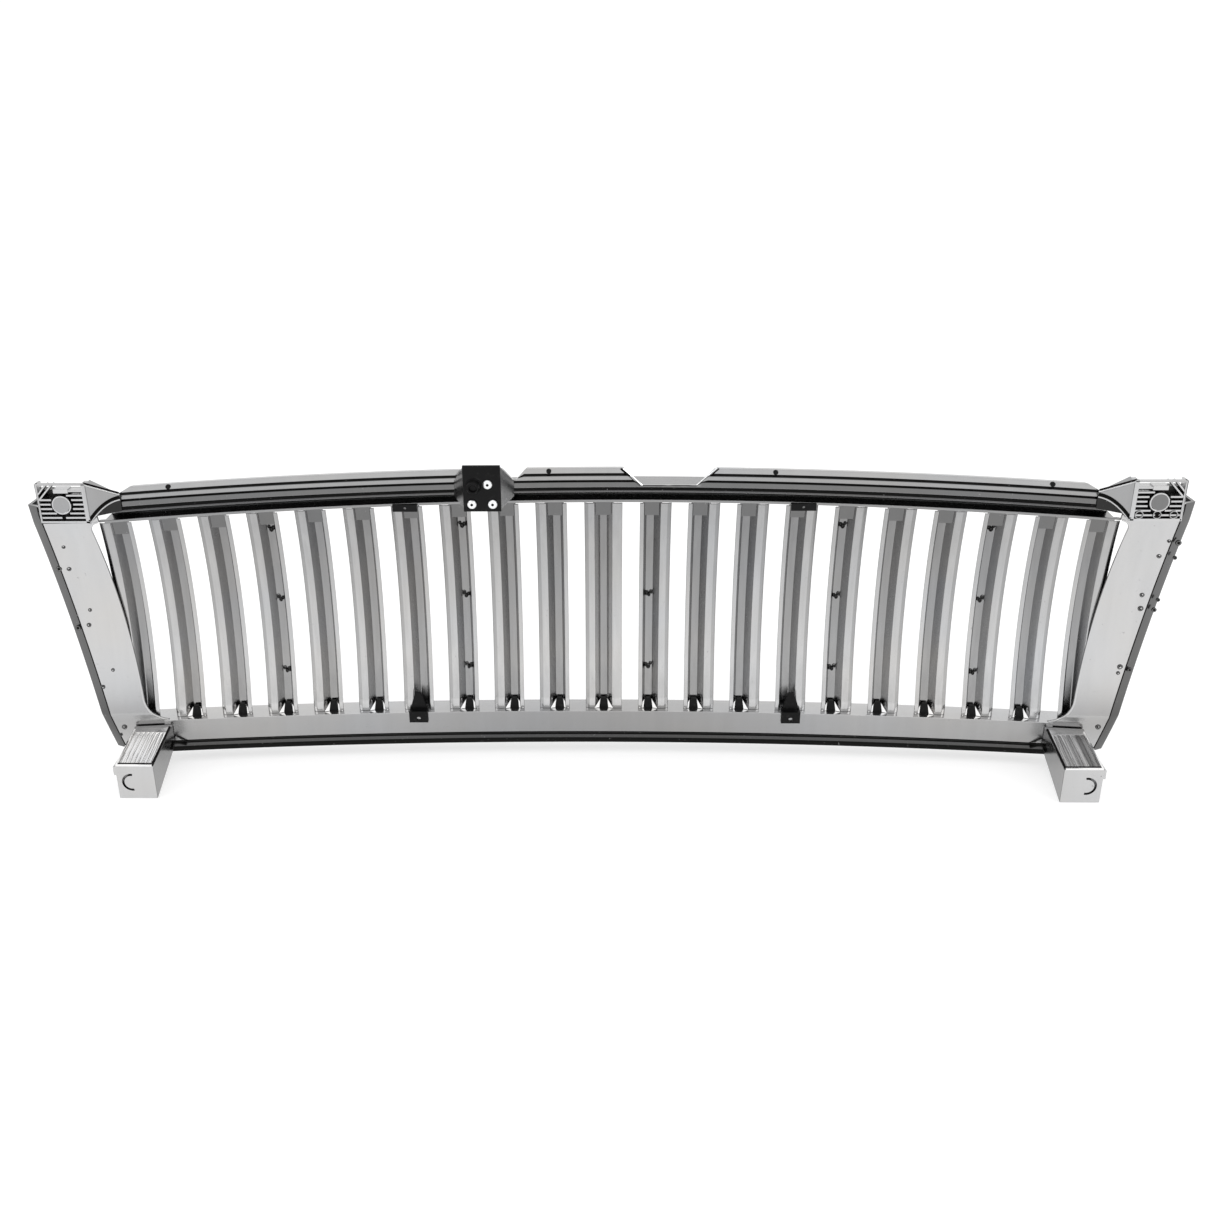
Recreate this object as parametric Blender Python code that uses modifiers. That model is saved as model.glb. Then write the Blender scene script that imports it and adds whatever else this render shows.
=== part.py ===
"""Chrome front grille for a light truck: a bowed row of vertical hat-section bars in a
trapezoid frame, with corner mounts, rear legs and a bonnet bumper on the top rail.

+Z is up, -Y is the front of the vehicle and +X is its left-hand side. All sizes are metres.
The working origin is on the centre line at the foot of the opening; frame_at_base moves
the finished grille so that its box stands centred on the origin.
"""

import math

import bmesh
import bpy
from mathutils import Vector

# Bars: hat channels that open to the rear, the wide wing on the outboard side.
BARS_EACH_SIDE = 10
BAR_WIDTH = 0.0285
BAR_GAP = 0.0150
CENTRE_BAR_WIDTH = 0.0345
CENTRE_GAP = 0.0157
BAR_DEPTH = 0.0090
BAR_WALL = 0.0022
INNER_WING = 0.0038
INNER_SLOPE = 0.0022
CHANNEL_FLOOR = 0.0070
OUTER_SLOPE = 0.0060
WING_CHAMFER = 0.0036
WING_DROP = 0.0016
CENTRE_WING = 0.0090
CENTRE_SLOPE = 0.0052
BAR_STATIONS = 9

# The face that the wings lie on: swept in plan, bowed forward between the rails.
OPENING_HEIGHT = 0.2045
SWEEP_RADIUS = 4.22
CROWN_RADIUS = 9.6
FORWARD_BOW = 0.01575
TOP_SETBACK = 0.0026

# Frame.
RAIL_FRONT = 0.0180
RAIL_WALL = 0.0027
TOP_SILL = 0.0040
TOP_MOUTH = 0.0162
TOP_ROOF = 0.0012
LIP_TOP = 0.0345
LIP_REAR = 0.0105
LOWER_TOP = 0.0078
LOWER_REAR = 0.0060
LOWER_FACE = 0.0222
LOWER_FOOT = 0.0145
OPENING_SLOPE = 0.128
OPENING_INSET = 0.0032
PANEL_WIDTH = 0.0435
PANEL_SLOPE = 0.262
PANEL_CURVE = 0.55
PANEL_REAR = 0.0045
PANEL_WALL = 0.0027
PANEL_STRIP = 0.0100
PANEL_FRONT_INSET = 0.0120
PANEL_FOOT = 0.0360
PANEL_ABOVE = 0.0085
PANEL_HEAD = OPENING_HEIGHT + PANEL_ABOVE
FOOT_CORNER = 0.0220
HEAD_CORNER = 0.0100
TOP_RAIL_REACH = 0.0058
LOWER_RAIL_REACH = 0.0192
RAIL_STATIONS = 24

# Combs that hold the bars in the rails.
COMB_HEIGHT = 0.0022
HEAD_TOOTH = 0.0110
HEAD_TOOTH_WIDTH = 0.0064
FOOT_TOOTH = 0.0025
FOOT_TOOTH_WIDTH = 0.0098
TOOTH_TAPER = 0.0020

# Corner mounts, legs and the bonnet bumper.
MOUNT_WIDTH = 0.0436
MOUNT_HEIGHT = 0.0360
MOUNT_BELOW = 0.0015
MOUNT_FOOT = OPENING_HEIGHT - MOUNT_BELOW
MOUNT_DEPTH = 0.0220
MOUNT_WALL = 0.0020
MOUNT_BOSS_RADIUS = 0.0086
RIB_PITCH = 0.0060
RIB_THICKNESS = 0.0018
RIB_POCKET = 0.0100
GUSSET_REACH = 0.0230
LEG_WIDTH = 0.0350
LEG_INSET = 0.0265
LEG_TOP = 0.0045
LEG_HEIGHT = 0.0340
LEG_REAR = 0.0900
LEG_DROP = 0.0080
LEG_WALL = 0.0025
LEG_HOOK_RADIUS = 0.0090
LEG_HOOK_SLOT = 0.0022
BUMPER_X = 0.1055
PLATE_WIDTH = 0.0330
PLATE_HEIGHT = 0.0420
PLATE_THICKNESS = 0.0030
TOWER_REACH = 0.0180
PLATE_RISE = 0.0030
TOWER_LOW = 0.0100
TOWER_HIGH = 0.0245
TOWER_ROOT_WIDTH = 0.0540
STUD_RADIUS = 0.0066
STUD_LENGTH = 0.0060
SCREW_HEAD_RADIUS = 0.0041
SCREW_HEAD_HEIGHT = 0.0022
NOTCH_X = -0.0585
NOTCH_TOP = 0.0830
NOTCH_FOOT = 0.0485
NOTCH_RISE = 0.0014
VEE_RISE = 0.0074
VEE_TOP = 0.0220
VEE_FOOT = 0.0030
LIP_END = 0.0310
LIP_END_STEP = 0.0060
LIP_END_RISE = 0.0062
BRACKET_BAR = 4
BRACKET_WIDTH = 0.0180
PIN_RADIUS = 0.0022
PIN_PLACES = (0.3830, 0.0480, -0.1510, -0.3870)

# Clearance left between pieces that touch.
FIT = 0.0003

BAR_PITCH = BAR_WIDTH + BAR_GAP
FIRST_BAR = CENTRE_BAR_WIDTH / 2 + CENTRE_GAP + BAR_WIDTH / 2
OUTER_BAR = FIRST_BAR + (BARS_EACH_SIDE - 1) * BAR_PITCH
TOP_RAIL_HALF = OUTER_BAR + TOP_RAIL_REACH
LOWER_RAIL_HALF = OUTER_BAR - LOWER_RAIL_REACH
MOUNT_INNER = TOP_RAIL_HALF + 3 * FIT + 0.0022
MOUNT_REAR = MOUNT_INNER**2 / (2 * SWEEP_RADIUS) + TOP_SETBACK + PANEL_REAR + MOUNT_DEPTH

for old in list(bpy.data.objects):
    bpy.data.objects.remove(old, do_unlink=True)

parts = bpy.data.collections.new("front_grille")
cutters = bpy.data.collections.new("cutters")
bpy.context.scene.collection.children.link(parts)
bpy.context.scene.collection.children.link(cutters)
root = bpy.data.objects.new("grille_frame", None)
parts.objects.link(root)


def make_material(name, colour, roughness, metallic):
    """A Principled material of one finish."""
    material = bpy.data.materials.new(name)
    material.use_nodes = True
    shader = material.node_tree.nodes["Principled BSDF"]
    shader.inputs["Base Color"].default_value = (*colour, 1.0)
    shader.inputs["Roughness"].default_value = roughness
    shader.inputs["Metallic"].default_value = metallic
    return material


chrome = make_material("chrome_plate", (0.78, 0.78, 0.79), 0.12, 1.0)
black = make_material("black_plastic", (0.02, 0.02, 0.022), 0.45, 0.0)
zinc = make_material("zinc_plate", (0.72, 0.73, 0.75), 0.3, 1.0)


# ---- shape of the face -------------------------------------------------------------


def bow(z):
    """How far the face stands back at height z: a parabola between the rails."""
    share = min(max(z, 0.0), OPENING_HEIGHT) / OPENING_HEIGHT
    return 4 * FORWARD_BOW * share * (share - 1) + TOP_SETBACK * share**2


def sweep(x):
    """How far the face curves back towards its ends."""
    return x * x / (2 * SWEEP_RADIUS)


def face_y(x, z):
    return sweep(x) + bow(z)


def opening_top(x):
    """Height of the crowned top edge of the opening."""
    return OPENING_HEIGHT - x * x / (2 * CROWN_RADIUS)


def bar_x(index):
    """Centre of a bar, index 0 being the centre bar and + the vehicle's left."""
    if index == 0:
        return 0.0
    return math.copysign(FIRST_BAR + (abs(index) - 1) * BAR_PITCH, index)


def opening_x(z):
    """Outboard edge of the opening, with its rounded lower and upper corners."""
    edge = OUTER_BAR - OPENING_INSET + OPENING_SLOPE * z
    above_foot = z + LOWER_TOP
    if above_foot < FOOT_CORNER:
        height = FOOT_CORNER - max(above_foot, 0.0)
        edge -= FOOT_CORNER - math.sqrt(FOOT_CORNER**2 - height**2)
    below_head = opening_top(OUTER_BAR) - z
    if below_head < HEAD_CORNER:
        height = HEAD_CORNER - max(below_head, 0.0)
        edge -= HEAD_CORNER - math.sqrt(HEAD_CORNER**2 - height**2)
    if above_foot <= 0:
        return LOWER_RAIL_HALF + FIT
    return max(edge, TOP_RAIL_HALF + FIT if below_head <= 0 else 0.0)


def panel_x(z):
    """Outboard edge of the side panel."""
    return OUTER_BAR - OPENING_INSET + PANEL_WIDTH + PANEL_SLOPE * z - PANEL_CURVE * z * z


# ---- mesh helpers --------------------------------------------------------------------


def add_object(name, mesh, material=None, collection=parts):
    """Links an object to the frame's empty and gives it a finish."""
    thing = bpy.data.objects.new(name, mesh)
    collection.objects.link(thing)
    thing.parent = root
    if material:
        mesh.materials.append(material)
    return thing


def finish_mesh(name, bm, smooth=None):
    bmesh.ops.recalc_face_normals(bm, faces=bm.faces)
    mesh = bpy.data.meshes.new(name)
    bm.to_mesh(mesh)
    bm.free()
    if smooth is not None:
        mesh.shade_smooth()
        mesh.set_sharp_from_angle(angle=math.radians(smooth))
    return mesh


def loft(name, rings, material, collection=parts):
    """A closed solid through rings that hold the same number of points."""
    bm = bmesh.new()
    loops = [[bm.verts.new(point) for point in ring] for ring in rings]
    count = len(rings[0])
    for low, high in zip(loops, loops[1:]):
        for i in range(count):
            j = (i + 1) % count
            bm.faces.new((low[i], low[j], high[j], high[i]))
    bm.faces.new(loops[0])
    bm.faces.new(loops[-1])
    return add_object(name, finish_mesh(name, bm), material, collection)


def hull(name, points, material, collection=parts):
    """The convex solid round a set of corners."""
    bm = bmesh.new()
    corners = [bm.verts.new(point) for point in points]
    bmesh.ops.convex_hull(bm, input=corners)
    loose = [vert for vert in bm.verts if not vert.link_faces]
    bmesh.ops.delete(bm, geom=loose, context="VERTS")
    return add_object(name, finish_mesh(name, bm), material, collection)


def box(name, low, high, material=None, collection=parts):
    """A box primitive between two corners."""
    bm = bmesh.new()
    bmesh.ops.create_cube(bm, size=1.0)
    size = [high[i] - low[i] for i in range(3)]
    bmesh.ops.scale(bm, vec=size, verts=bm.verts)
    thing = add_object(name, finish_mesh(name, bm), material, collection)
    thing.location = [(low[i] + high[i]) / 2 for i in range(3)]
    return thing


def cylinder(name, radius, length, centre, material=None, tip=None, collection=parts, sides=28):
    """A cylinder along Y, or a cone frustum where tip gives the rear radius."""
    bm = bmesh.new()
    bmesh.ops.create_cone(
        bm,
        cap_ends=True,
        segments=sides,
        radius1=radius,
        radius2=radius if tip is None else tip,
        depth=length,
    )
    thing = add_object(name, finish_mesh(name, bm, smooth=40), material, collection)
    thing.rotation_euler = (-math.pi / 2, 0.0, 0.0)
    thing.location = centre
    return thing


def combine(thing, other, operation):
    """Cuts other from the piece, or joins it on, as a live Boolean."""
    other.hide_render = True
    other.display_type = "WIRE"
    modifier = thing.modifiers.new(f"{operation.lower()}_{other.name}", "BOOLEAN")
    modifier.operation = operation
    modifier.solver = "EXACT"
    modifier.object = other
    return thing


# ---- bars ----------------------------------------------------------------------------


def hat_section(width, wings, slopes):
    """Closed outline of a hat channel, (across, rearward), from its - side to its + side."""
    left_wing, right_wing = wings
    left_slope, right_slope = slopes
    half = width / 2
    shift = BAR_WALL * 0.6
    rear = [
        (-half, 0.0),
        (-half + left_wing, 0.0),
        (-half + left_wing + left_slope, -BAR_DEPTH),
        (half - right_wing - right_slope, -BAR_DEPTH),
        (half - right_wing, 0.0),
        (half - WING_CHAMFER, 0.0),
        (half, -WING_DROP),
    ]
    front = [
        (half, -WING_DROP - BAR_WALL * 0.7),
        (half - WING_CHAMFER, -BAR_WALL),
        (half - right_wing + shift, -BAR_WALL),
        (half - right_wing - right_slope + shift, -BAR_DEPTH - BAR_WALL),
        (-half + left_wing + left_slope - shift, -BAR_DEPTH - BAR_WALL),
        (-half + left_wing - shift, -BAR_WALL),
        (-half, -BAR_WALL),
    ]
    return rear + front


def make_bar(name, index):
    """One bar, standing on the lower rail and ending under the head comb."""
    x = bar_x(index)
    if index == 0:
        outline = hat_section(CENTRE_BAR_WIDTH, (CENTRE_WING,) * 2, (CENTRE_SLOPE,) * 2)
    else:
        outer_wing = BAR_WIDTH - INNER_WING - INNER_SLOPE - CHANNEL_FLOOR - OUTER_SLOPE
        outline = hat_section(BAR_WIDTH, (INNER_WING, outer_wing), (INNER_SLOPE, OUTER_SLOPE))
    side = -1 if index < 0 else 1
    foot = -LOWER_TOP + FIT
    head = opening_top(abs(x) + BAR_WIDTH / 2) - COMB_HEIGHT - 2 * FIT
    rings = []
    for step in range(BAR_STATIONS):
        z = foot + (head - foot) * step / (BAR_STATIONS - 1)
        rings.append([Vector((side * u, bow(z) + w, z)) for u, w in outline])
    bar = loft(name, rings, chrome)
    bar.location = (x, sweep(x), 0.0)
    bar.rotation_euler = (0.0, 0.0, math.atan(x / SWEEP_RADIUS))
    return bar


def channel_centre(index):
    """Offset of a channel's floor from the middle of its bar."""
    if index == 0:
        return 0.0
    offset = -BAR_WIDTH / 2 + INNER_WING + INNER_SLOPE + CHANNEL_FLOOR / 2
    return math.copysign(1.0, index) * offset


# ---- rails ---------------------------------------------------------------------------


def stations(half, count):
    return [half * (2 * i / count - 1) for i in range(count + 1)]


def top_rail_section():
    """Channel that opens to the rear, with a stepped lip on its rear edge."""
    inner_front = -RAIL_FRONT + RAIL_WALL
    step = 0.0020
    lip_front = LIP_REAR - 0.0043
    return [
        (-RAIL_FRONT, 0.0),
        (TOP_SILL, 0.0),
        (TOP_SILL, RAIL_WALL),
        (inner_front, RAIL_WALL),
        (inner_front, TOP_MOUTH - 0.0035),
        (LIP_REAR - 0.0006, TOP_MOUTH),
        (LIP_REAR, TOP_MOUTH + 0.0008),
        (LIP_REAR, TOP_MOUTH + 0.0050),
        (LIP_REAR - step, TOP_MOUTH + 0.0056),
        (LIP_REAR - step, TOP_MOUTH + 0.0064),
        (LIP_REAR, TOP_MOUTH + 0.0070),
        (LIP_REAR, TOP_MOUTH + 0.0108),
        (LIP_REAR - step, TOP_MOUTH + 0.0116),
        (LIP_REAR - 0.0014, TOP_MOUTH + 0.0130),
        (LIP_REAR - 0.0014, LIP_TOP),
        (lip_front, LIP_TOP),
        (lip_front, TOP_MOUTH + TOP_ROOF),
        (-RAIL_FRONT, TOP_MOUTH + TOP_ROOF),
    ]


def lower_rail_section():
    """Channel that opens downward, with a grooved, rounded foot on its rear wall."""
    inner_rear = LOWER_REAR - RAIL_WALL - 0.0016
    groove = -LOWER_TOP - LOWER_FACE
    foot = groove - LOWER_FOOT
    return [
        (-RAIL_FRONT, -LOWER_TOP),
        (LOWER_REAR, -LOWER_TOP),
        (LOWER_REAR, groove),
        (LOWER_REAR - 0.0016, groove - 0.0010),
        (LOWER_REAR - 0.0016, groove - 0.0022),
        (LOWER_REAR + 0.0010, groove - 0.0030),
        (LOWER_REAR + 0.0010, groove - 0.0065),
        (LOWER_REAR - 0.0010, foot + 0.0022),
        (LOWER_REAR - 0.0048, foot),
        (inner_rear - 0.0012, foot + 0.0030),
        (inner_rear, foot + 0.0052),
        (inner_rear, -LOWER_TOP - RAIL_WALL),
        (-RAIL_FRONT + RAIL_WALL, -LOWER_TOP - RAIL_WALL),
        (-RAIL_FRONT + RAIL_WALL, foot),
        (-RAIL_FRONT, foot),
    ]


def make_top_rail():
    outline = top_rail_section()
    rings = []
    for x in stations(TOP_RAIL_HALF, RAIL_STATIONS):
        y = sweep(x) + TOP_SETBACK
        z = opening_top(x)
        rings.append([Vector((x, y + dy, z + dz)) for dy, dz in outline])
    rail = loft("top_rail", rings, chrome)
    roof = OPENING_HEIGHT + TOP_MOUTH
    notch = wedge_cutter("bonnet_latch_notch", NOTCH_X, NOTCH_FOOT, NOTCH_TOP, roof + NOTCH_RISE)
    combine(rail, notch, "DIFFERENCE")
    vee_x = BUMPER_X - TOWER_ROOT_WIDTH / 2
    vee = wedge_cutter("bumper_notch", vee_x, VEE_FOOT, VEE_TOP, roof + VEE_RISE)
    combine(rail, vee, "DIFFERENCE")
    for side in (-1, 1):
        combine(rail, lip_end_cutter(side), "DIFFERENCE")
    return rail


def lip_end_cutter(side):
    """Prism that slopes the lip down towards its end."""
    end = opening_top(TOP_RAIL_HALF)
    low, high, clear = end + TOP_MOUTH + LIP_END_RISE, end + LIP_TOP - 0.001, OPENING_HEIGHT + 0.06
    outline = (
        (TOP_RAIL_HALF - LIP_END, clear),
        (TOP_RAIL_HALF + 0.05, clear),
        (TOP_RAIL_HALF + 0.05, low),
        (TOP_RAIL_HALF - LIP_END_STEP, low),
        (TOP_RAIL_HALF - LIP_END, high),
    )
    corners = [(side * x, y, z) for x, z in outline for y in (-0.01, 0.07)]
    return hull(f"lip_end_{'left' if side > 0 else 'right'}", corners, None, cutters)


def wedge_cutter(name, x, foot_width, top_width, foot_z):
    """A tapered cutter through the lip, wider at its top."""
    top_z = OPENING_HEIGHT + LIP_TOP
    corners = []
    for y in (-0.0050, 0.0400):
        for half, z in ((foot_width / 2, foot_z), (top_width / 2, top_z)):
            corners += [(x - half, y, z), (x + half, y, z)]
        corners += [(x - top_width / 2, y, top_z + 0.02), (x + top_width / 2, y, top_z + 0.02)]
    return hull(name, corners, None, cutters)


def tooth_points(index, near, far, z_root, z_tip, width, spare):
    """Corners of one comb tooth in a bar's channel; spare widens it all round."""
    x = bar_x(index)
    turn = math.atan(x / SWEEP_RADIUS)
    points = []
    for z, half in ((z_root, width / 2), (z_tip, width / 2 - TOOTH_TAPER)):
        for across in (-half - spare, half + spare):
            for back in (near - spare, far + spare):
                u = channel_centre(index) + across
                w = bow(z) + back
                px = x + u * math.cos(turn) - w * math.sin(turn)
                py = sweep(x) + u * math.sin(turn) + w * math.cos(turn)
                points.append(Vector((px, py, z)))
    return points


def comb_strip(name, half, near, far, low_of, high_of, material):
    """The carrier of a comb: a flat strip that follows the sweep."""
    rings = []
    for x in stations(half, RAIL_STATIONS):
        low, high = low_of(x), high_of(x)
        y = sweep(x)
        rings.append(
            [
                Vector((x, y + near, low)),
                Vector((x, y + far, low)),
                Vector((x, y + far, high)),
                Vector((x, y + near, high)),
            ]
        )
    return loft(name, rings, material)


def joined_teeth(name, boxes):
    """One cutter object that holds every tooth as its own closed shape."""
    bm = bmesh.new()
    for points in boxes:
        corners = [bm.verts.new(point) for point in points]
        bmesh.ops.convex_hull(bm, input=corners)
    return add_object(name, finish_mesh(name, bm), None, cutters)


def make_head_comb():
    """Carrier under the top rail with a tooth down into each bar's channel."""
    near, far = TOP_SETBACK - BAR_DEPTH + FIT, TOP_SETBACK - BAR_DEPTH / 2
    reach = BAR_WIDTH / 2

    def carrier_top(x):
        return opening_top(x) - FIT

    def carrier_low(x):
        return opening_top(x) - FIT - COMB_HEIGHT / 2

    comb = comb_strip("head_comb", OUTER_BAR + reach, near, far, carrier_low, carrier_top, chrome)
    teeth = []
    for index in range(-BARS_EACH_SIDE, BARS_EACH_SIDE + 1):
        root_z = opening_top(bar_x(index) + channel_centre(index)) - COMB_HEIGHT / 2
        tip_z = opening_top(bar_x(index)) - COMB_HEIGHT / 2 - HEAD_TOOTH
        deep, shallow = -BAR_DEPTH + 2 * FIT, -BAR_DEPTH / 2
        teeth.append(tooth_points(index, deep, shallow, root_z, tip_z, HEAD_TOOTH_WIDTH, 0.0))
    return combine(comb, joined_teeth("head_teeth", teeth), "UNION")


def foot_teeth(spare, low):
    """Teeth of the foot comb, from a height inside the rail up into the channels."""
    teeth = []
    for index in range(-BARS_EACH_SIDE, BARS_EACH_SIDE + 1):
        if abs(index) in (BRACKET_BAR, BARS_EACH_SIDE):
            continue
        deep, shallow = -BAR_DEPTH / 2, -0.0005
        tip = FOOT_TOOTH + spare
        teeth.append(tooth_points(index, deep, shallow, low, tip, FOOT_TOOTH_WIDTH, spare))
    return teeth


def make_foot_comb():
    """Black carrier inside the lower rail with a tooth up into each bar's foot."""
    high = -LOWER_TOP - RAIL_WALL - FIT
    low = high - COMB_HEIGHT

    comb = comb_strip(
        "foot_comb", LOWER_RAIL_HALF - FIT, -0.0060, 0.0, lambda x: low, lambda x: high, black
    )
    middle = (low + high) / 2
    return combine(comb, joined_teeth("foot_teeth", foot_teeth(0.0, middle)), "UNION")


def make_lower_rail():
    outline = lower_rail_section()
    rings = []
    for x in stations(OUTER_BAR + BAR_WIDTH / 2 + 0.0008, RAIL_STATIONS):
        rings.append([Vector((x, sweep(x) + dy, dz)) for dy, dz in outline])
    rail = loft("lower_rail", rings, chrome)
    for side in (-1, 1):
        corners = []
        for x in (LOWER_RAIL_HALF, OUTER_BAR + BAR_WIDTH):
            for z in (-0.08, 0.01):
                skin = sweep(x) + PANEL_REAR - PANEL_WALL - 2 * FIT
                corners += [(side * x, skin, z), (side * x, skin + 0.03, z)]
        relief = hull(f"panel_relief_{'left' if side > 0 else 'right'}", corners, None, cutters)
        combine(rail, relief, "DIFFERENCE")
    depth = -LOWER_TOP - RAIL_WALL - COMB_HEIGHT
    slots = joined_teeth("comb_slots", foot_teeth(FIT, depth))
    return combine(rail, slots, "DIFFERENCE")


# ---- side panels ----------------------------------------------------------------------


def side_heights():
    """Heights of the panel's rings, close together round the corners of the opening."""
    foot = -LOWER_TOP
    head = opening_top(OUTER_BAR)
    heights = [-PANEL_FOOT, foot - FIT, foot]
    heights += [foot + FOOT_CORNER * share for share in (0.03, 0.1, 0.22, 0.4, 0.65, 1.0)]
    low, high = foot + FOOT_CORNER, head - HEAD_CORNER
    heights += [low + (high - low) * step / 7 for step in range(1, 8)]
    heights += [head - HEAD_CORNER * share for share in (0.6, 0.3, 0.12, 0.02)]
    heights += [head + FIT, PANEL_HEAD]
    return heights


def make_side_panel(name, side):
    """Skin behind the outer bar, turned forward at its outboard edge and in at the front."""
    rings = []
    front_edge = OUTER_BAR + BAR_WIDTH / 2 + 0.0012
    for z in side_heights():
        inner, outer = opening_x(z), panel_x(z)
        front = max(front_edge, inner + PANEL_FRONT_INSET)
        outline = [
            (inner, PANEL_REAR),
            (outer - PANEL_STRIP, PANEL_REAR),
            (outer, -0.0010),
            (outer - 0.0010, -RAIL_FRONT),
            (front, -RAIL_FRONT),
            (front, -RAIL_FRONT + PANEL_WALL),
            (outer - 0.0034, -RAIL_FRONT + PANEL_WALL),
            (outer - 0.0028, -0.0025),
            (outer - PANEL_STRIP - 0.0008, PANEL_REAR - PANEL_WALL),
            (inner, PANEL_REAR - PANEL_WALL),
        ]
        rings.append([Vector((side * x, face_y(x, z) + dy, z)) for x, dy in outline])
    return loft(name, rings, chrome)


# ---- corner mounts and legs -------------------------------------------------------------


def make_corner_mount(name, side):
    """Ribbed mounting block with a round boss and a gusset towards the top rail."""
    inner, outer = MOUNT_INNER, MOUNT_INNER + MOUNT_WIDTH
    low, high = MOUNT_FOOT, MOUNT_FOOT + MOUNT_HEIGHT
    corners = []
    for x in (inner, outer):
        for z in (low, high):
            front = sweep(x) + TOP_SETBACK + PANEL_REAR + FIT
            corners += [(side * x, front, z), (side * x, MOUNT_REAR, z)]
    block = hull(name, corners, chrome)

    centre_x = side * (inner + outer) / 2
    centre_z = (low + high) / 2
    half_gap = MOUNT_BOSS_RADIUS + 0.0016
    bm = bmesh.new()
    pocket_width = MOUNT_WIDTH / 2 - MOUNT_WALL - half_gap
    rows = int((MOUNT_HEIGHT - 2 * MOUNT_WALL) / RIB_PITCH)
    first = centre_z - (rows - 1) * RIB_PITCH / 2
    for row in range(rows):
        for way in (-1, 1):
            made = bmesh.ops.create_cube(bm, size=1.0)["verts"]
            size = (pocket_width, 2 * RIB_POCKET, RIB_PITCH - RIB_THICKNESS)
            bmesh.ops.scale(bm, vec=size, verts=made)
            across = centre_x + way * (half_gap + pocket_width / 2)
            bmesh.ops.translate(bm, vec=(across, MOUNT_REAR, first + row * RIB_PITCH), verts=made)
    pockets = add_object(f"{name}_pockets", finish_mesh("pockets", bm), None, cutters)
    combine(block, pockets, "DIFFERENCE")

    boss_length = MOUNT_DEPTH / 2
    boss_y = MOUNT_REAR + 0.0010 - boss_length / 2
    boss_at = (centre_x, boss_y, centre_z)
    boss = cylinder(f"{name}_boss", MOUNT_BOSS_RADIUS, boss_length, boss_at, collection=cutters)
    combine(block, boss, "UNION")

    rail_back = sweep(inner) + TOP_SETBACK + LIP_REAR + 2 * FIT
    reach = inner - GUSSET_REACH
    web_back = sweep(reach) + TOP_SETBACK + LIP_REAR + 2 * FIT
    rail_low = opening_top(inner) + TOP_MOUTH
    points = [
        (side * (inner + 0.001), rail_back, low + 0.001),
        (side * (inner + 0.001), rail_back, high - 0.001),
        (side * (inner + 0.001), MOUNT_REAR - 0.001, low + 0.001),
        (side * (inner + 0.001), MOUNT_REAR - 0.001, high - 0.001),
        (side * reach, web_back, rail_low - 0.002),
        (side * reach, web_back, rail_low + 0.010),
        (side * reach, web_back + 0.002, rail_low - 0.002),
        (side * reach, web_back + 0.002, rail_low + 0.010),
    ]
    gusset = hull(f"{name}_gusset", points, None, cutters)
    return combine(block, gusset, "UNION")


def leg_ring(side, inset, back, drop):
    """Corners of the leg's cross-section at one end."""
    inner = OUTER_BAR - LEG_INSET + inset
    outer = inner + LEG_WIDTH - 2 * inset
    top = -LOWER_TOP - LEG_TOP - drop
    low = top - LEG_HEIGHT
    root_y = [sweep(x) + LOWER_REAR + 2 * FIT for x in (inner, outer)]
    y_inner, y_outer = root_y if back is None else (back, back)
    return [
        Vector((side * inner, y_inner, low + inset)),
        Vector((side * outer, y_outer, low + inset)),
        Vector((side * outer, y_outer, top + (0.02 if inset else 0.0))),
        Vector((side * inner, y_inner, top + (0.02 if inset else 0.0))),
    ]


def make_leg(name, side):
    """Open-topped box that runs back from the foot of the frame."""
    root_ring = leg_ring(side, 0.0, None, 0.0)
    for point in root_ring[:2]:
        point.z = -LOWER_TOP - LOWER_FACE - 0.0035
        point.y += 0.0010
    leg = loft(name, [root_ring, leg_ring(side, 0.0, LEG_REAR, LEG_DROP)], chrome)
    pocket_rings = [
        leg_ring(side, LEG_WALL, sweep(OUTER_BAR) + 0.0160, 0.0),
        leg_ring(side, LEG_WALL, LEG_REAR - LEG_WALL, LEG_DROP),
    ]
    for point in pocket_rings[0][:2]:
        point.z = -LOWER_TOP - 0.0160
    for point in pocket_rings[1][:2]:
        point.z = -LOWER_TOP - LEG_DROP - 0.0170
    combine(leg, loft(f"{name}_pocket", pocket_rings, None, cutters), "DIFFERENCE")

    x = side * (OUTER_BAR - LEG_INSET + LEG_WIDTH * 0.62)
    z = -LOWER_TOP - LEG_TOP - LEG_DROP - LEG_HEIGHT * 0.5
    bm = bmesh.new()
    hook_arc(bm, x, z, side)
    hook = add_object(f"{name}_hook_slot", finish_mesh("hook_slot", bm), None, cutters)
    return combine(leg, hook, "DIFFERENCE")


def hook_arc(bm, x, z, side):
    """A C-shaped slot cutter: a thin arc of 200 degrees swept through the end wall."""
    steps = 14
    loops = []
    for step in range(steps + 1):
        angle = math.radians(80 + 200 * step / steps)
        ring = []
        for y in (LEG_REAR - 0.0120, LEG_REAR + 0.0040):
            for radius in (LEG_HOOK_RADIUS - LEG_HOOK_SLOT, LEG_HOOK_RADIUS):
                px = x + side * -radius * math.cos(angle)
                ring.append(bm.verts.new((px, y, z + radius * math.sin(angle))))
        loops.append([ring[0], ring[1], ring[3], ring[2]])
    for low, high in zip(loops, loops[1:]):
        for i in range(4):
            j = (i + 1) % 4
            bm.faces.new((low[i], low[j], high[j], high[i]))
    bm.faces.new(loops[0])
    bm.faces.new(loops[-1])


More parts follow.
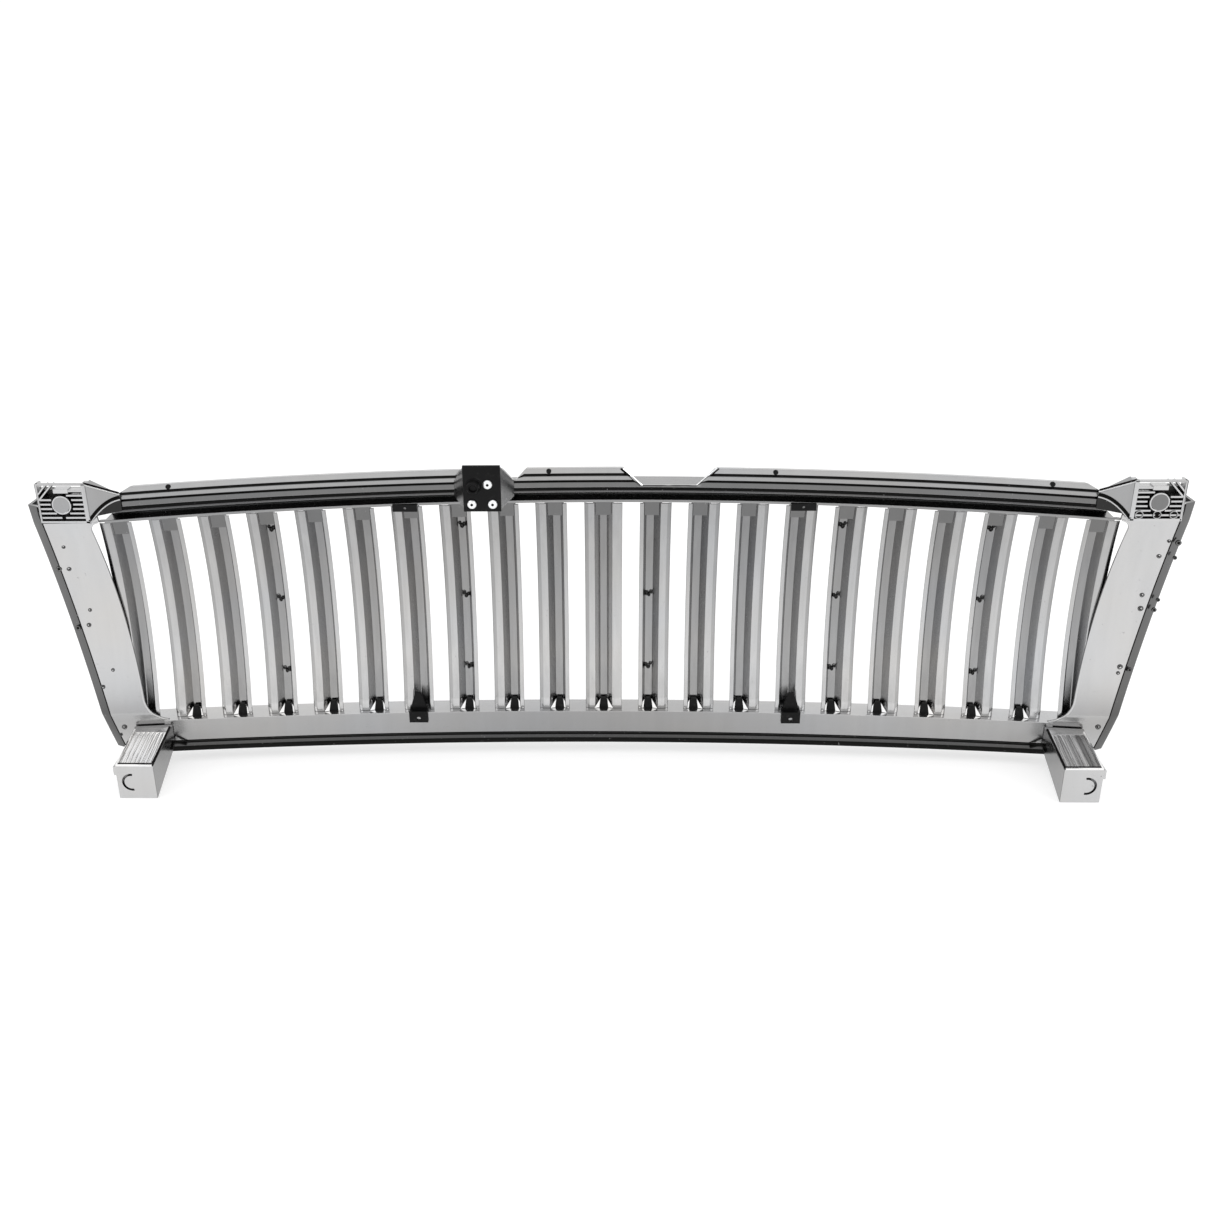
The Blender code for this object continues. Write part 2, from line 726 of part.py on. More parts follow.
def make_leg_tab(name, side):
    """Thin locating tab on the outboard wall of a leg."""
    inner = OUTER_BAR - LEG_INSET + LEG_WIDTH + FIT
    z = -LOWER_TOP - LEG_TOP - LEG_DROP
    low = (inner, LEG_REAR - 0.0240, z - 0.0110)
    high = (inner + 0.0030, LEG_REAR - 0.0020, z - 0.0020)
    if side < 0:
        low, high = (-high[0], low[1], low[2]), (-low[0], high[1], high[2])
    tab = box(name, low, high, chrome)
    round_edges(tab, 0.0008)
    return tab


def round_edges(thing, width):
    modifier = thing.modifiers.new("round_edges", "BEVEL")
    modifier.width = width
    modifier.segments = 2
    modifier.limit_method = "ANGLE"


# ---- bonnet bumper on the top rail -------------------------------------------------------


def tower_base():
    """Y of the rail's rear face behind the tower, and the height of the opening's top edge."""
    back = sweep(BUMPER_X + TOWER_ROOT_WIDTH / 2) + TOP_SETBACK + LIP_REAR + FIT
    return back, opening_top(BUMPER_X)


def make_tower():
    """Tapered bracket that carries the bumper plate behind the top rail."""
    back, height = tower_base()
    low, high = height + TOWER_LOW, height + TOWER_HIGH
    root_half = TOWER_ROOT_WIDTH / 2
    rings = [
        [
            Vector((BUMPER_X - root_half, back, low)),
            Vector((BUMPER_X + root_half, back, low)),
            Vector((BUMPER_X + root_half, back, high)),
            Vector((BUMPER_X - root_half, back, high)),
        ],
        plate_corners(back + TOWER_REACH, 0.0006),
    ]
    return loft("bumper_tower", rings, chrome)


def plate_corners(y, inset):
    """Corners of the bumper plate at one depth."""
    low = opening_top(BUMPER_X) + PLATE_RISE
    half = PLATE_WIDTH / 2 - inset
    return [
        Vector((BUMPER_X - half, y, low + inset)),
        Vector((BUMPER_X + half, y, low + inset)),
        Vector((BUMPER_X + half, y, low + PLATE_HEIGHT - inset)),
        Vector((BUMPER_X - half, y, low + PLATE_HEIGHT - inset)),
    ]


def make_bumper():
    """The black plate, its stud and the three screws that hold it on the tower."""
    front = tower_base()[0] + TOWER_REACH + FIT
    rear = front + PLATE_THICKNESS
    corners = plate_corners(front, 0.0)
    plate = box("bumper_plate", corners[0], (corners[2].x, rear, corners[2].z), black)
    round_edges(plate, 0.0006)
    low = corners[0].z
    stud_at = (BUMPER_X + 0.0072, rear + FIT + STUD_LENGTH / 2, low + PLATE_HEIGHT * 0.56)
    cylinder("bumper_stud", STUD_RADIUS, STUD_LENGTH, stud_at, black, tip=STUD_RADIUS * 0.82)
    places = ((-0.0052, 0.60), (0.0090, 0.17), (-0.0092, 0.17))
    for number, (across, share) in enumerate(places, start=1):
        at = (BUMPER_X + across, rear + FIT + SCREW_HEAD_HEIGHT / 2, low + PLATE_HEIGHT * share)
        head = SCREW_HEAD_RADIUS
        name = f"plate_screw_{number}"
        cylinder(name, head, SCREW_HEAD_HEIGHT, at, zinc, tip=head * 0.72, sides=20)


# ---- small brackets, clips and pins ------------------------------------------------------


def make_upper_clip(name, side):
    """Black clip under the rear edge of the top rail, behind a bar."""
    x = side * bar_x(BRACKET_BAR)
    half = BRACKET_WIDTH * 0.62
    y = sweep(abs(x) + half) + TOP_SETBACK + TOP_SILL + FIT
    z = opening_top(x)
    clip = box(name, (x - half, y, z - 0.0045), (x + half, y + 0.0020, z + 0.0022), black)
    hole_at = (x, y + 0.001, z - 0.0014)
    hole = cylinder(f"{name}_hole", 0.0012, 0.01, hole_at, collection=cutters, sides=12)
    return combine(clip, hole, "DIFFERENCE")


def make_lower_bracket(name, side):
    """Black bracket: a tongue up the bar's foot and a drilled tab down the rail's face."""
    x = side * bar_x(BRACKET_BAR)
    half = BRACKET_WIDTH / 2
    top = -LOWER_TOP + FIT
    wing_y = sweep(x) + bow(0.0) + 3 * FIT
    tab_y = sweep(abs(x) + half) + LOWER_REAR + FIT
    tab = box(name, (x - half, tab_y, top - 0.0100), (x + half, tab_y + 0.0016, top + 0.0018), black)
    shelf_high = (x + half, tab_y + 0.0010, top + 0.0018)
    shelf = box(f"{name}_shelf", (x - half, wing_y, top), shelf_high, None, cutters)
    tip_z = 0.0125
    tip_y = sweep(x) + 3 * FIT
    points = []
    for z, width, y in ((top + 0.0004, half * 0.95, wing_y), (tip_z, half * 0.3, tip_y)):
        points += [(x - width, y, z), (x + width, y, z)]
        points += [(x - width, y + 0.0022, z), (x + width, y + 0.0022, z)]
    tongue = hull(f"{name}_tongue", points, None, cutters)
    hole_at = (x, tab_y, top - 0.0062)
    hole = cylinder(f"{name}_hole", 0.0022, 0.01, hole_at, collection=cutters, sides=16)
    combine(tab, shelf, "UNION")
    combine(tab, tongue, "UNION")
    return combine(tab, hole, "DIFFERENCE")


def make_lip_pin(number, x):
    """Push pin whose head lies on the rear face of the lip."""
    y = sweep(x) + TOP_SETBACK + LIP_REAR - 0.0014
    z = opening_top(x) + LIP_TOP - 0.0030
    at = (x, y + 2 * FIT + 0.0006, z)
    return cylinder(f"lip_pin_{number}", PIN_RADIUS, 0.0012, at, black, tip=PIN_RADIUS * 0.7, sides=16)


def frame_at_base():
    """Moves the whole grille so that its box stands centred on the origin."""
    bpy.context.view_layer.update()
    graph = bpy.context.evaluated_depsgraph_get()
    points = []
    for thing in parts.objects:
        if thing.type == "MESH":
            solid = thing.evaluated_get(graph)
            points += [solid.matrix_world @ vertex.co for vertex in solid.data.vertices]
    low = [min(point[i] for point in points) for i in range(3)]
    high = [max(point[i] for point in points) for i in range(3)]
    root.location = (-(low[0] + high[0]) / 2, -(low[1] + high[1]) / 2, -low[2])


def build():
    for place, index in enumerate(range(BARS_EACH_SIDE, -BARS_EACH_SIDE - 1, -1), start=1):
        make_bar(f"bar_{place:02d}", index)
    make_top_rail()
    make_lower_rail()
    make_head_comb()
    make_foot_comb()
    for hand, side in (("left", 1), ("right", -1)):
        make_side_panel(f"side_panel_{hand}", side)
        make_corner_mount(f"corner_mount_{hand}", side)
        make_leg(f"leg_{hand}", side)
        make_leg_tab(f"leg_tab_{hand}", side)
        make_upper_clip(f"upper_clip_{hand}", side)
        make_lower_bracket(f"lower_bracket_{hand}", side)
    make_tower()
    make_bumper()
    for number, x in enumerate(PIN_PLACES, start=1):
        make_lip_pin(number, x)
    frame_at_base()


build()
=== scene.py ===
"""Looks for a chrome front grille: bowed hat-section bars in a channelled frame, with
corner mounts, rear legs and a bonnet bumper, standing on a pale studio floor."""

import math

import bmesh
import bpy
import numpy as np
from mathutils import Matrix, Vector


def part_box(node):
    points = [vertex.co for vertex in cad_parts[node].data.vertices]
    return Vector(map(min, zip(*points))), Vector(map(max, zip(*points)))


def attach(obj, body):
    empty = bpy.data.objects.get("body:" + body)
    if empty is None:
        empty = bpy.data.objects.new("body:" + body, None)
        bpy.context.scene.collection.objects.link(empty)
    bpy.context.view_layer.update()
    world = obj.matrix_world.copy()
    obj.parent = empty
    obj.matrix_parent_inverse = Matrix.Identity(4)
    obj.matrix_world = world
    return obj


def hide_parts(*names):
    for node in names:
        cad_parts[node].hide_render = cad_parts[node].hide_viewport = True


bl_info = {
    "name": "Front Grille Looks",
    "version": (1, 0, 0),
    "blender": (4, 5, 0),
    "location": "3D View > Sidebar > Grille",
    "description": "Builds the chrome skins, fixings, finishes and studio of a front grille",
    "category": "Object",
}

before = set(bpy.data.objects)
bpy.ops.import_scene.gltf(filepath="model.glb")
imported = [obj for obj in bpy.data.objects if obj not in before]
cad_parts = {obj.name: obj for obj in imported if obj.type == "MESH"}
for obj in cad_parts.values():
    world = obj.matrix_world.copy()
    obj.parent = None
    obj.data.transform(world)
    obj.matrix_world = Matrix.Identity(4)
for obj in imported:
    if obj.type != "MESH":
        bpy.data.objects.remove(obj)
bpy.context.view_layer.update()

# Shape of the face, in metres, as the frame was built.
OPENING_HEIGHT = 0.2045
SWEEP_RADIUS = 4.22
CROWN_RADIUS = 9.6
FORWARD_BOW = 0.01575
TOP_SETBACK = 0.0026
BARS_EACH_SIDE = 10
BAR_WIDTH = 0.0285
BAR_PITCH = 0.0435
FIRST_BAR = 0.0472
OUTER_BAR = FIRST_BAR + (BARS_EACH_SIDE - 1) * BAR_PITCH
BAR_WALL = 0.0022
BAR_DEPTH = 0.0090
RAIL_FRONT = 0.0180
RAIL_WALL = 0.0027
TOP_SILL = 0.0040
TOP_MOUTH = 0.0162
TOP_ROOF = 0.0012
LIP_REAR = 0.0105
LIP_TOP = 0.0345
LOWER_TOP = 0.0078
LOWER_REAR = 0.0060
LOWER_FACE = 0.0222
LOWER_FOOT = 0.0145
PANEL_REAR = 0.0045
PANEL_WALL = 0.0027
PANEL_STRIP = 0.0100
PANEL_FOOT = 0.0360
PANEL_HEAD = 0.2130
FOOT_CORNER = 0.0220
HEAD_CORNER = 0.0100
TOP_RAIL_HALF = OUTER_BAR + 0.0058
LOWER_RAIL_HALF = OUTER_BAR - 0.0192
LOWER_RAIL_END = OUTER_BAR + BAR_WIDTH / 2 + 0.0008
FIT = 0.0003
COMB_HEIGHT = 0.0022
NOTCH_X = -0.0585
NOTCH_HALF = 0.02425
NOTCH_MOUTH = 0.0415
VEE_X = 0.0785
VEE_FOOT = 0.0015
VEE_MOUTH = 0.0110
LIP_END = 0.0310
LIP_END_FLAT = 0.0060
LIP_END_LOW = 0.0062
LIP_END_RISE = 0.0145
HAIR = 0.0001
MERGE = 2e-6
MARKED_BARS = (7, 3, -1, -5, -8)
MOUNT_WIDTH = 0.0436
MOUNT_HEIGHT = 0.0360
MOUNT_FOOT = 0.2030
MOUNT_DEPTH = 0.0220
MOUNT_POCKET = 0.0090
BOSS_RADIUS = 0.0086
RIB_PITCH = 0.0041
RIB_HALF = 0.0009
LEG_INNER = OUTER_BAR - 0.0265
LEG_WIDTH = 0.0350
LEG_REAR = 0.0900
LEG_TOP = -LOWER_TOP - 0.0045
LEG_DROP = 0.0080
LEG_ROOT = 0.0085

# Painted shade and reflections of a bar's channel, edge by edge: 0 paints the dark shade colour, 1 leaves the
# full chrome colour.
WALL_SHADE = 1.0
FLOOR_SHADE = 0.62
INNER_SHADE = 0.66
HEAD_SHADE = 0.70

# Where the working origin, at the foot of the opening, stands in the frame.
SHIFT = np.array(
    (
        0.0,
        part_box("top_rail")[0].y + RAIL_FRONT - TOP_SETBACK,
        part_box("bar_11")[0].z + LOWER_TOP - FIT,
    )
)


# ---- settings ------------------------------------------------------------------------


def length_setting(name, description, default, low, high):
    return bpy.props.FloatProperty(
        name=name, description=description, default=default, min=low, max=high, unit="LENGTH"
    )


def colour_setting(name, description, default):
    return bpy.props.FloatVectorProperty(
        name=name, description=description, default=default, subtype="COLOR", size=3, min=0.0, max=1.0
    )


class GrilleBarSettings(bpy.types.PropertyGroup):
    corner: length_setting("Edge radius", "Rounding of the bars' bends", 0.0007, 0.0002, 0.0010)
    stations: bpy.props.IntProperty(
        name="Stations", description="Rings along each bar", default=56, min=12, max=120
    )
    pad_radius: length_setting(
        "Pad radius", "Radius of the ejector pads in the marked bars' channels", 0.0021, 0.0005, 0.0030
    )


class GrilleFrameSettings(bpy.types.PropertyGroup):
    corner: length_setting("Edge radius", "Rounding of the rails' and panels' edges", 0.0006, 0.0001, 0.0010)
    bead: length_setting("Bead radius", "Radius of the rolled edge round the opening", 0.0010, 0.0003, 0.0020)


class GrilleFinishSettings(bpy.types.PropertyGroup):
    chrome: colour_setting("Chrome", "Colour of the plated rear skins", (0.535, 0.535, 0.539))
    # Painted shade: the skins' colour is mixed towards this dark colour where their shade attribute is low.
    shadow: colour_setting("Recess", "Colour of the thinly plated recesses", (0.007, 0.007, 0.0065))
    black: colour_setting("Black plastic", "Colour of the moulded black parts", (0.004, 0.004, 0.0042))
    zinc: colour_setting("Zinc", "Colour of the plated screws", (0.86, 0.87, 0.88))


class GrilleStageSettings(bpy.types.PropertyGroup):
    floor_size: length_setting("Floor size", "Length of the square studio floor", 60.0, 4.0, 100.0)
    key_power: bpy.props.FloatProperty(
        name="Lights", description="Power of each softbox", default=8.0, min=0.0, max=500.0, unit="POWER"
    )
    focal_length: bpy.props.FloatProperty(
        name="Focal length",
        description="Lens of the studio camera, in millimetres",
        default=38.96,
        min=10.0,
        max=200.0,
    )


# ---- shape of the face ------------------------------------------------------------------


def sweep(x):
    """Setback at x: x squared over twice the sweep radius."""
    return x * x / (2 * SWEEP_RADIUS)


def bow(z):
    """Setback at height z: a parabola between the rails, plus a small square term."""
    share = np.clip(z, 0.0, OPENING_HEIGHT) / OPENING_HEIGHT
    return 4 * FORWARD_BOW * share * (share - 1) + TOP_SETBACK * share**2


def opening_top(x):
    """Height of the crowned top edge: the opening's height less x squared over twice the crown."""
    return OPENING_HEIGHT - x * x / (2 * CROWN_RADIUS)


def opening_x(z):
    """Outboard edge of the opening: a straight slope that turns in on a circle at each corner."""
    edge = OUTER_BAR - 0.0032 + 0.128 * z
    above = np.clip(z + LOWER_TOP, 0.0, None)
    rise = np.clip(FOOT_CORNER - above, 0.0, None)
    edge = edge - (FOOT_CORNER - np.sqrt(FOOT_CORNER**2 - rise**2))
    below = np.clip(opening_top(OUTER_BAR) - z, 0.0, None)
    fall = np.clip(HEAD_CORNER - below, 0.0, None)
    edge = edge - (HEAD_CORNER - np.sqrt(HEAD_CORNER**2 - fall**2))
    edge = np.where(z + LOWER_TOP <= 0, LOWER_RAIL_HALF + FIT, edge)
    return np.where(below <= 0, np.maximum(edge, TOP_RAIL_HALF + FIT), edge)


def panel_x(z):
    """Outboard edge of the side panel: a quadratic in height."""
    return OUTER_BAR - 0.0032 + 0.0435 + 0.262 * z - 0.55 * z * z


# ---- surfaces -----------------------------------------------------------------------------


def rounded(outline, shades, radius, steps=4):
    """Closed outline with each corner turned into a parabola arc.

    The arc runs from a point on one edge to a point on the next, with the corner as the
    middle control point of a quadratic Bezier curve. Half of it takes each edge's shade.
    """
    corner = np.array(outline, float)
    before, after = np.roll(corner, 1, 0) - corner, np.roll(corner, -1, 0) - corner
    reach = [np.linalg.norm(edge, axis=1, keepdims=True) for edge in (before, after)]
    cut = np.minimum(radius, 0.45 * np.minimum(*reach))
    start, end = corner + before / reach[0] * cut, corner + after / reach[1] * cut
    t = np.linspace(0.0, 1.0, steps)[None, :, None]
    arcs = (1 - t) ** 2 * start[:, None] + 2 * t * (1 - t) * corner[:, None] + t**2 * end[:, None]
    edge_shade = np.array(shades, float)
    first_half = np.arange(steps) < steps / 2
    halves = np.where(first_half, np.roll(edge_shade, 1)[:, None], edge_shade[:, None])
    return arcs.reshape(-1, 2), halves.reshape(-1)


def grid_faces(rows, columns):
    """Quads of a grid whose columns close on themselves."""
    start = np.arange(rows - 1)[:, None] * columns
    column = np.arange(columns)[None, :]
    here, beside = start + column, start + (column + 1) % columns
    return np.stack([here, beside, beside + columns, here + columns], -1).reshape(-1, 4)


def volume_sign(points, quads):
    """Sign of the volume: the sum of each triangle's corner triple product."""
    a, b, c, d = (points[quads[:, i]] for i in range(4))
    total = np.einsum("ij,ij->i", a, np.cross(b, c)) + np.einsum("ij,ij->i", a, np.cross(c, d))
    return total.sum()


def shell(points, quads, caps, shade):
    """One closed surface as (points, polygons, shade), its faces pointing outwards."""
    points = np.asarray(points, float).reshape(-1, 3)
    centred = points - points.mean(0)
    fans = [
        np.array([(cap[0], cap[i], cap[i + 1], cap[i + 1]) for i in range(1, len(cap) - 1)])
        for cap in caps
    ]
    turned = volume_sign(centred, np.concatenate([quads, *fans])) < 0
    polygons = [q[::-1] if turned else q for q in [*quads.tolist(), *[list(c) for c in caps]]]
    return points, polygons, np.broadcast_to(np.asarray(shade, float), (len(points),))


def tube_shell(grid, shade=1.0):
    """Closed shell from a grid of rings, capped at its first and last ring."""
    rows, columns = grid.shape[:2]
    first = list(range(columns))[::-1]
    last = [(rows - 1) * columns + i for i in range(columns)]
    shades = np.broadcast_to(np.asarray(shade, float), (rows, columns)).reshape(-1)
    return shell(grid.reshape(-1, 3), grid_faces(rows, columns), (first, last), shades)


def slab(low, high, shade=1.0):
    """Closed box between two corners, as two rings of four."""
    low, high = np.asarray(low, float), np.asarray(high, float)
    across = np.array([(0, 0), (1, 0), (1, 1), (0, 1)])
    rings = []
    for y in (low[1], high[1]):
        x = low[0] + across[:, 0] * (high[0] - low[0])
        z = low[2] + across[:, 1] * (high[2] - low[2])
        rings.append(np.stack([x, np.full(4, y), z], -1))
    return tube_shell(np.array(rings), shade)


def lathe(profile, centre, shades=1.0, sides=32, stretch=(1.0, 1.0)):
    """Closed turned shell about a line along Y: each (radius, depth) carried round a circle."""
    profile = np.array(profile, float)
    angle = np.linspace(0.0, 2 * math.pi, sides, endpoint=False)
    turn = np.stack([np.cos(angle) * stretch[0], np.sin(angle) * stretch[1]])
    ring = profile[:, None, 0] * turn[:, None]
    depth = np.broadcast_to(profile[:, 1][:, None], ring.shape[1:])
    grid = np.stack([ring[0], depth, ring[1]], -1) + np.asarray(centre, float)
    shade = np.broadcast_to(np.asarray(shades, float), (len(profile),))[:, None]
    return tube_shell(grid, np.broadcast_to(shade, grid.shape[:2]))


def pipe(path, radius, shade=1.0, sides=12, squash=1.0):
    """Closed round bead along a path: a circle set square to the path at each point."""
    path = np.asarray(path, float)
    along = np.gradient(path, axis=0)
    along /= np.linalg.norm(along, axis=1, keepdims=True)
    side = np.cross(along, (0.0, 1.0, 0.0))
    side /= np.linalg.norm(side, axis=1, keepdims=True)
    out = np.cross(side, along)
    angle = np.linspace(0.0, 2 * math.pi, sides, endpoint=False)
    grid = (
        path[:, None]
        + radius * np.cos(angle)[None, :, None] * side[:, None]
        + radius * squash * np.sin(angle)[None, :, None] * out[:, None]
    )
    return tube_shell(grid, shade)


def piece(name, shells, material, nodes=(), bevel=0.0):
    """Joins shells into one named object that rides on the frame and stands for its nodes."""
    points, polygons, shades, start = [], [], [], 0
    for part_points, part_polygons, part_shades in shells:
        points.append(part_points)
        shades.append(part_shades)
        polygons += [[index + start for index in polygon] for polygon in part_polygons]
        start += len(part_points)
    mesh = bpy.data.meshes.new(name)
    mesh.from_pydata((np.concatenate(points) + SHIFT).tolist(), [], polygons)
    return finish(mesh, np.concatenate(shades), material, nodes, bevel, 2, 32)


def rounded_copy(node, material, bevel):
    """A merged copy of a frame node with its flat faces joined and its edges rounded."""
    bm = bmesh.new()
    bm.from_mesh(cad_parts[node].data)
    bmesh.ops.remove_doubles(bm, verts=bm.verts, dist=MERGE)
    bmesh.ops.dissolve_limit(bm, angle_limit=math.radians(1.0), verts=bm.verts, edges=bm.edges)
    mesh = bpy.data.meshes.new(f"{node}_body")
    bm.to_mesh(mesh)
    bm.free()
    mesh.materials.clear()
    return finish(mesh, np.ones(len(mesh.vertices)), material, (node,), bevel, 3, 40)


def finish(mesh, shades, material, nodes, bevel, segments, sharp):
    """Cleans a mesh, gives it its shades and finish and hands the object to the frame."""
    attribute = mesh.attributes.new("shade", "FLOAT", "POINT")
    attribute.data.foreach_set("value", np.asarray(shades, np.float32))
    bm = bmesh.new()
    bm.from_mesh(mesh)
    bmesh.ops.remove_doubles(bm, verts=bm.verts, dist=MERGE)
    bmesh.ops.dissolve_degenerate(bm, edges=bm.edges, dist=MERGE / 2)
    bm.to_mesh(mesh)
    bm.free()
    mesh.validate()
    mesh.shade_smooth()
    mesh.set_sharp_from_angle(angle=math.radians(sharp))
    mesh.materials.append(FINISHES[material])
    thing = bpy.data.objects.new(mesh.name, mesh)
    bpy.context.scene.collection.objects.link(thing)
    if bevel:
        modifier = thing.modifiers.new("round_edges", "BEVEL")
        modifier.width = bevel
        modifier.segments = segments
        modifier.limit_method = "ANGLE"
        modifier.angle_limit = math.radians(38)
        modifier.harden_normals = True
    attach(thing, "root")
    if nodes:
        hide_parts(*nodes)
    return thing


# ---- finishes -------------------------------------------------------------------------------

FINISHES = {}
WARM_TONE = (1.03, 1.0, 0.955)
COLD_TONE = (0.97, 0.995, 1.03)


def group_io(name, inputs, outputs):
    """A shader node group with named sockets, each given as (name, kind, default)."""
    group = bpy.data.node_groups.new(name, "ShaderNodeTree")
    for label, kind, default in inputs:
        socket = group.interface.new_socket(label, in_out="INPUT", socket_type=kind)
        if default is not None:
            socket.default_value = default
    for label, kind in outputs:
        group.interface.new_socket(label, in_out="OUTPUT", socket_type=kind)
    return group, group.nodes.new("NodeGroupInput"), group.nodes.new("NodeGroupOutput")


def add_node(tree, kind, links=(), **values):
    """A node with settings by attribute, socket values by name, and links into its inputs."""
    node = tree.nodes.new(kind)
    sockets = values.pop("sockets", {})
    for key, value in values.items():
        setattr(node, key, value)
    for key, value in sockets.items():
        node.inputs[key].default_value = value
    for source, target in links:
        tree.links.new(source, node.inputs[target])
    return node


def math_node(tree, operation, links, use_clamp=False, **sockets):
    """Output of a maths node; sockets are given as b and c, its second and third inputs."""
    values = {"bc".index(key) + 1: value for key, value in sockets.items()}
    return add_node(
        tree, "ShaderNodeMath", links, operation=operation, use_clamp=use_clamp, sockets=values
    ).outputs[0]


def make_streak_group():
    """Plating streaks: noise drawn out along the height, as a factor about one and a bump height."""
    tree, given, made = group_io(
        "plating_streaks",
        [
            ("Coordinates", "NodeSocketVector", None),
            ("Fineness", "NodeSocketFloat", 160.0),
            ("Amount", "NodeSocketFloat", 0.10),
        ],
        [("Factor", "NodeSocketFloat"), ("Height", "NodeSocketFloat"), ("Cloud", "NodeSocketFloat")],
    )
    place = given.outputs["Coordinates"]
    squash = {1: (1.0, 1.0, 0.045)}
    stretch = add_node(
        tree, "ShaderNodeVectorMath", [(place, 0)], operation="MULTIPLY", sockets=squash
    )
    lines = add_node(
        tree,
        "ShaderNodeTexNoise",
        [(stretch.outputs[0], "Vector"), (given.outputs["Fineness"], "Scale")],
        sockets={"Detail": 3.0, "Roughness": 0.55},
    ).outputs[0]
    soft = {"Scale": 14.0, "Detail": 2.0}
    cloud = add_node(tree, "ShaderNodeTexNoise", [(place, "Vector")], sockets=soft).outputs[0]
    swing = math_node(tree, "SUBTRACT", [(lines, 0)], b=0.5)
    factor = math_node(tree, "MULTIPLY_ADD", [(swing, 0), (given.outputs["Amount"], 1)], c=1.0)
    for source, label in ((factor, "Factor"), (lines, "Height"), (cloud, "Cloud")):
        tree.links.new(source, made.inputs[label])


def make_wear_group():
    """Dust and small scuffs: fine speckle where a broad noise is high, as a mask."""
    tree, given, made = group_io(
        "handling_marks",
        [
            ("Coordinates", "NodeSocketVector", None),
            ("Size", "NodeSocketFloat", 420.0),
            ("Threshold", "NodeSocketFloat", 0.68),
        ],
        [("Mask", "NodeSocketFloat")],
    )
    speck = add_node(
        tree,
        "ShaderNodeTexNoise",
        [(given.outputs["Coordinates"], "Vector"), (given.outputs["Size"], "Scale")],
        sockets={"Detail": 4.0},
    )
    over = math_node(tree, "SUBTRACT", [(speck.outputs[0], 0), (given.outputs["Threshold"], 1)])
    gain = math_node(tree, "MULTIPLY", [(over, 0)], use_clamp=True, b=9.0)
    tree.links.new(gain, made.inputs["Mask"])


def mix_colour(tree, factor, first, second, blend="MIX"):
    """A colour mix node; each argument is a socket or a value."""
    node = tree.nodes.new("ShaderNodeMix")
    node.data_type = "RGBA"
    node.blend_type = blend
    for index, value in ((0, factor), (6, first), (7, second)):
        if isinstance(value, bpy.types.NodeSocket):
            tree.links.new(value, node.inputs[index])
        elif index == 0:
            node.inputs[index].default_value = value
        else:
            node.inputs[index].default_value = (*value, 1.0)
    return node.outputs[2]


def new_finish(name):
    """A new material on file under its name: its tree, shader, object coordinates and marks."""
    material = bpy.data.materials.new(f"{name}_finish")
    FINISHES[name] = material
    material.use_nodes = True
    tree = material.node_tree
    place = add_node(tree, "ShaderNodeTexCoord").outputs["Object"]
    return tree, tree.nodes["Principled BSDF"], place, add_group(tree, "handling_marks", place)


def add_group(tree, name, place):
    """A copy of one of the shared node groups, fed with coordinates."""
    group = add_node(tree, "ShaderNodeGroup", node_tree=bpy.data.node_groups[name])
    tree.links.new(place, group.inputs["Coordinates"])
    return group


def raise_surface(tree, shader, height, strength, distance):
    """A bump on the shader's normal."""
    values = {"Strength": strength, "Distance": distance}
    raised = add_node(tree, "ShaderNodeBump", [(height, "Height")], sockets=values)
    tree.links.new(raised.outputs[0], shader.inputs["Normal"])


def make_metal(name, colour, painted_shade_colour, rough, rough_swing, fineness, streak, bump):
    """Plated metal: streaked colour mixed towards a dark colour where the shade attribute is low, which
    paints shade and dark reflections, with satin and scuffed patches.
    """
    tree, shader, place, marks = new_finish(name)
    shader.inputs["Metallic"].default_value = 1.0
    streaks = add_group(tree, "plating_streaks", place)
    streaks.inputs["Fineness"].default_value = fineness
    streaks.inputs["Amount"].default_value = streak
    shade = add_node(tree, "ShaderNodeAttribute", attribute_name="shade").outputs["Fac"]
    warm, cold = ([c * k for c, k in zip(colour, tone)] for tone in (WARM_TONE, COLD_TONE))
    clouded = mix_colour(tree, streaks.outputs["Cloud"], warm, cold)
    streaked = add_node(
        tree,
        "ShaderNodeVectorMath",
        [(clouded, 0), (streaks.outputs["Factor"], "Scale")],
        operation="SCALE",
    )
    # Painted shade and reflections: the shade attribute mixes the streaked colour towards the dark shade
    # colour.
    shaded = mix_colour(tree, shade, painted_shade_colour, streaked.outputs[0])
    dulled = mix_colour(tree, marks.outputs["Mask"], shaded, [0.55 * c for c in colour])
    tree.links.new(dulled, shader.inputs["Base Color"])
    satin = math_node(tree, "MULTIPLY_ADD", [(streaks.outputs["Cloud"], 0)], b=rough_swing, c=rough)
    scuffed = math_node(tree, "MULTIPLY_ADD", [(marks.outputs["Mask"], 0), (satin, 2)], b=0.15)
    tree.links.new(scuffed, shader.inputs["Roughness"])
    raise_surface(tree, shader, streaks.outputs["Height"], bump, 0.0004)


def make_plastic(name, colour, rough):
    """Moulded plastic with a fine pebble grain and dust in patches."""
    tree, shader, place, marks = new_finish(name)
    shader.inputs["Specular IOR Level"].default_value = 0.14
    pebbles = {"Scale": 1400.0, "Detail": 2.0}
    grain = add_node(tree, "ShaderNodeTexNoise", [(place, "Vector")], sockets=pebbles)
    marks.inputs["Size"].default_value = 260.0
    marks.inputs["Threshold"].default_value = 0.60
    dusty = mix_colour(tree, marks.outputs["Mask"], colour, [c + 0.012 for c in colour])
    varied = mix_colour(tree, 0.35, dusty, grain.outputs["Color"], "MULTIPLY")
    tree.links.new(varied, shader.inputs["Base Color"])
    pebbled = math_node(tree, "MULTIPLY_ADD", [(grain.outputs[0], 0)], b=0.18, c=rough - 0.09)
    tree.links.new(pebbled, shader.inputs["Roughness"])
    raise_surface(tree, shader, grain.outputs[0], 0.35, 0.00015)


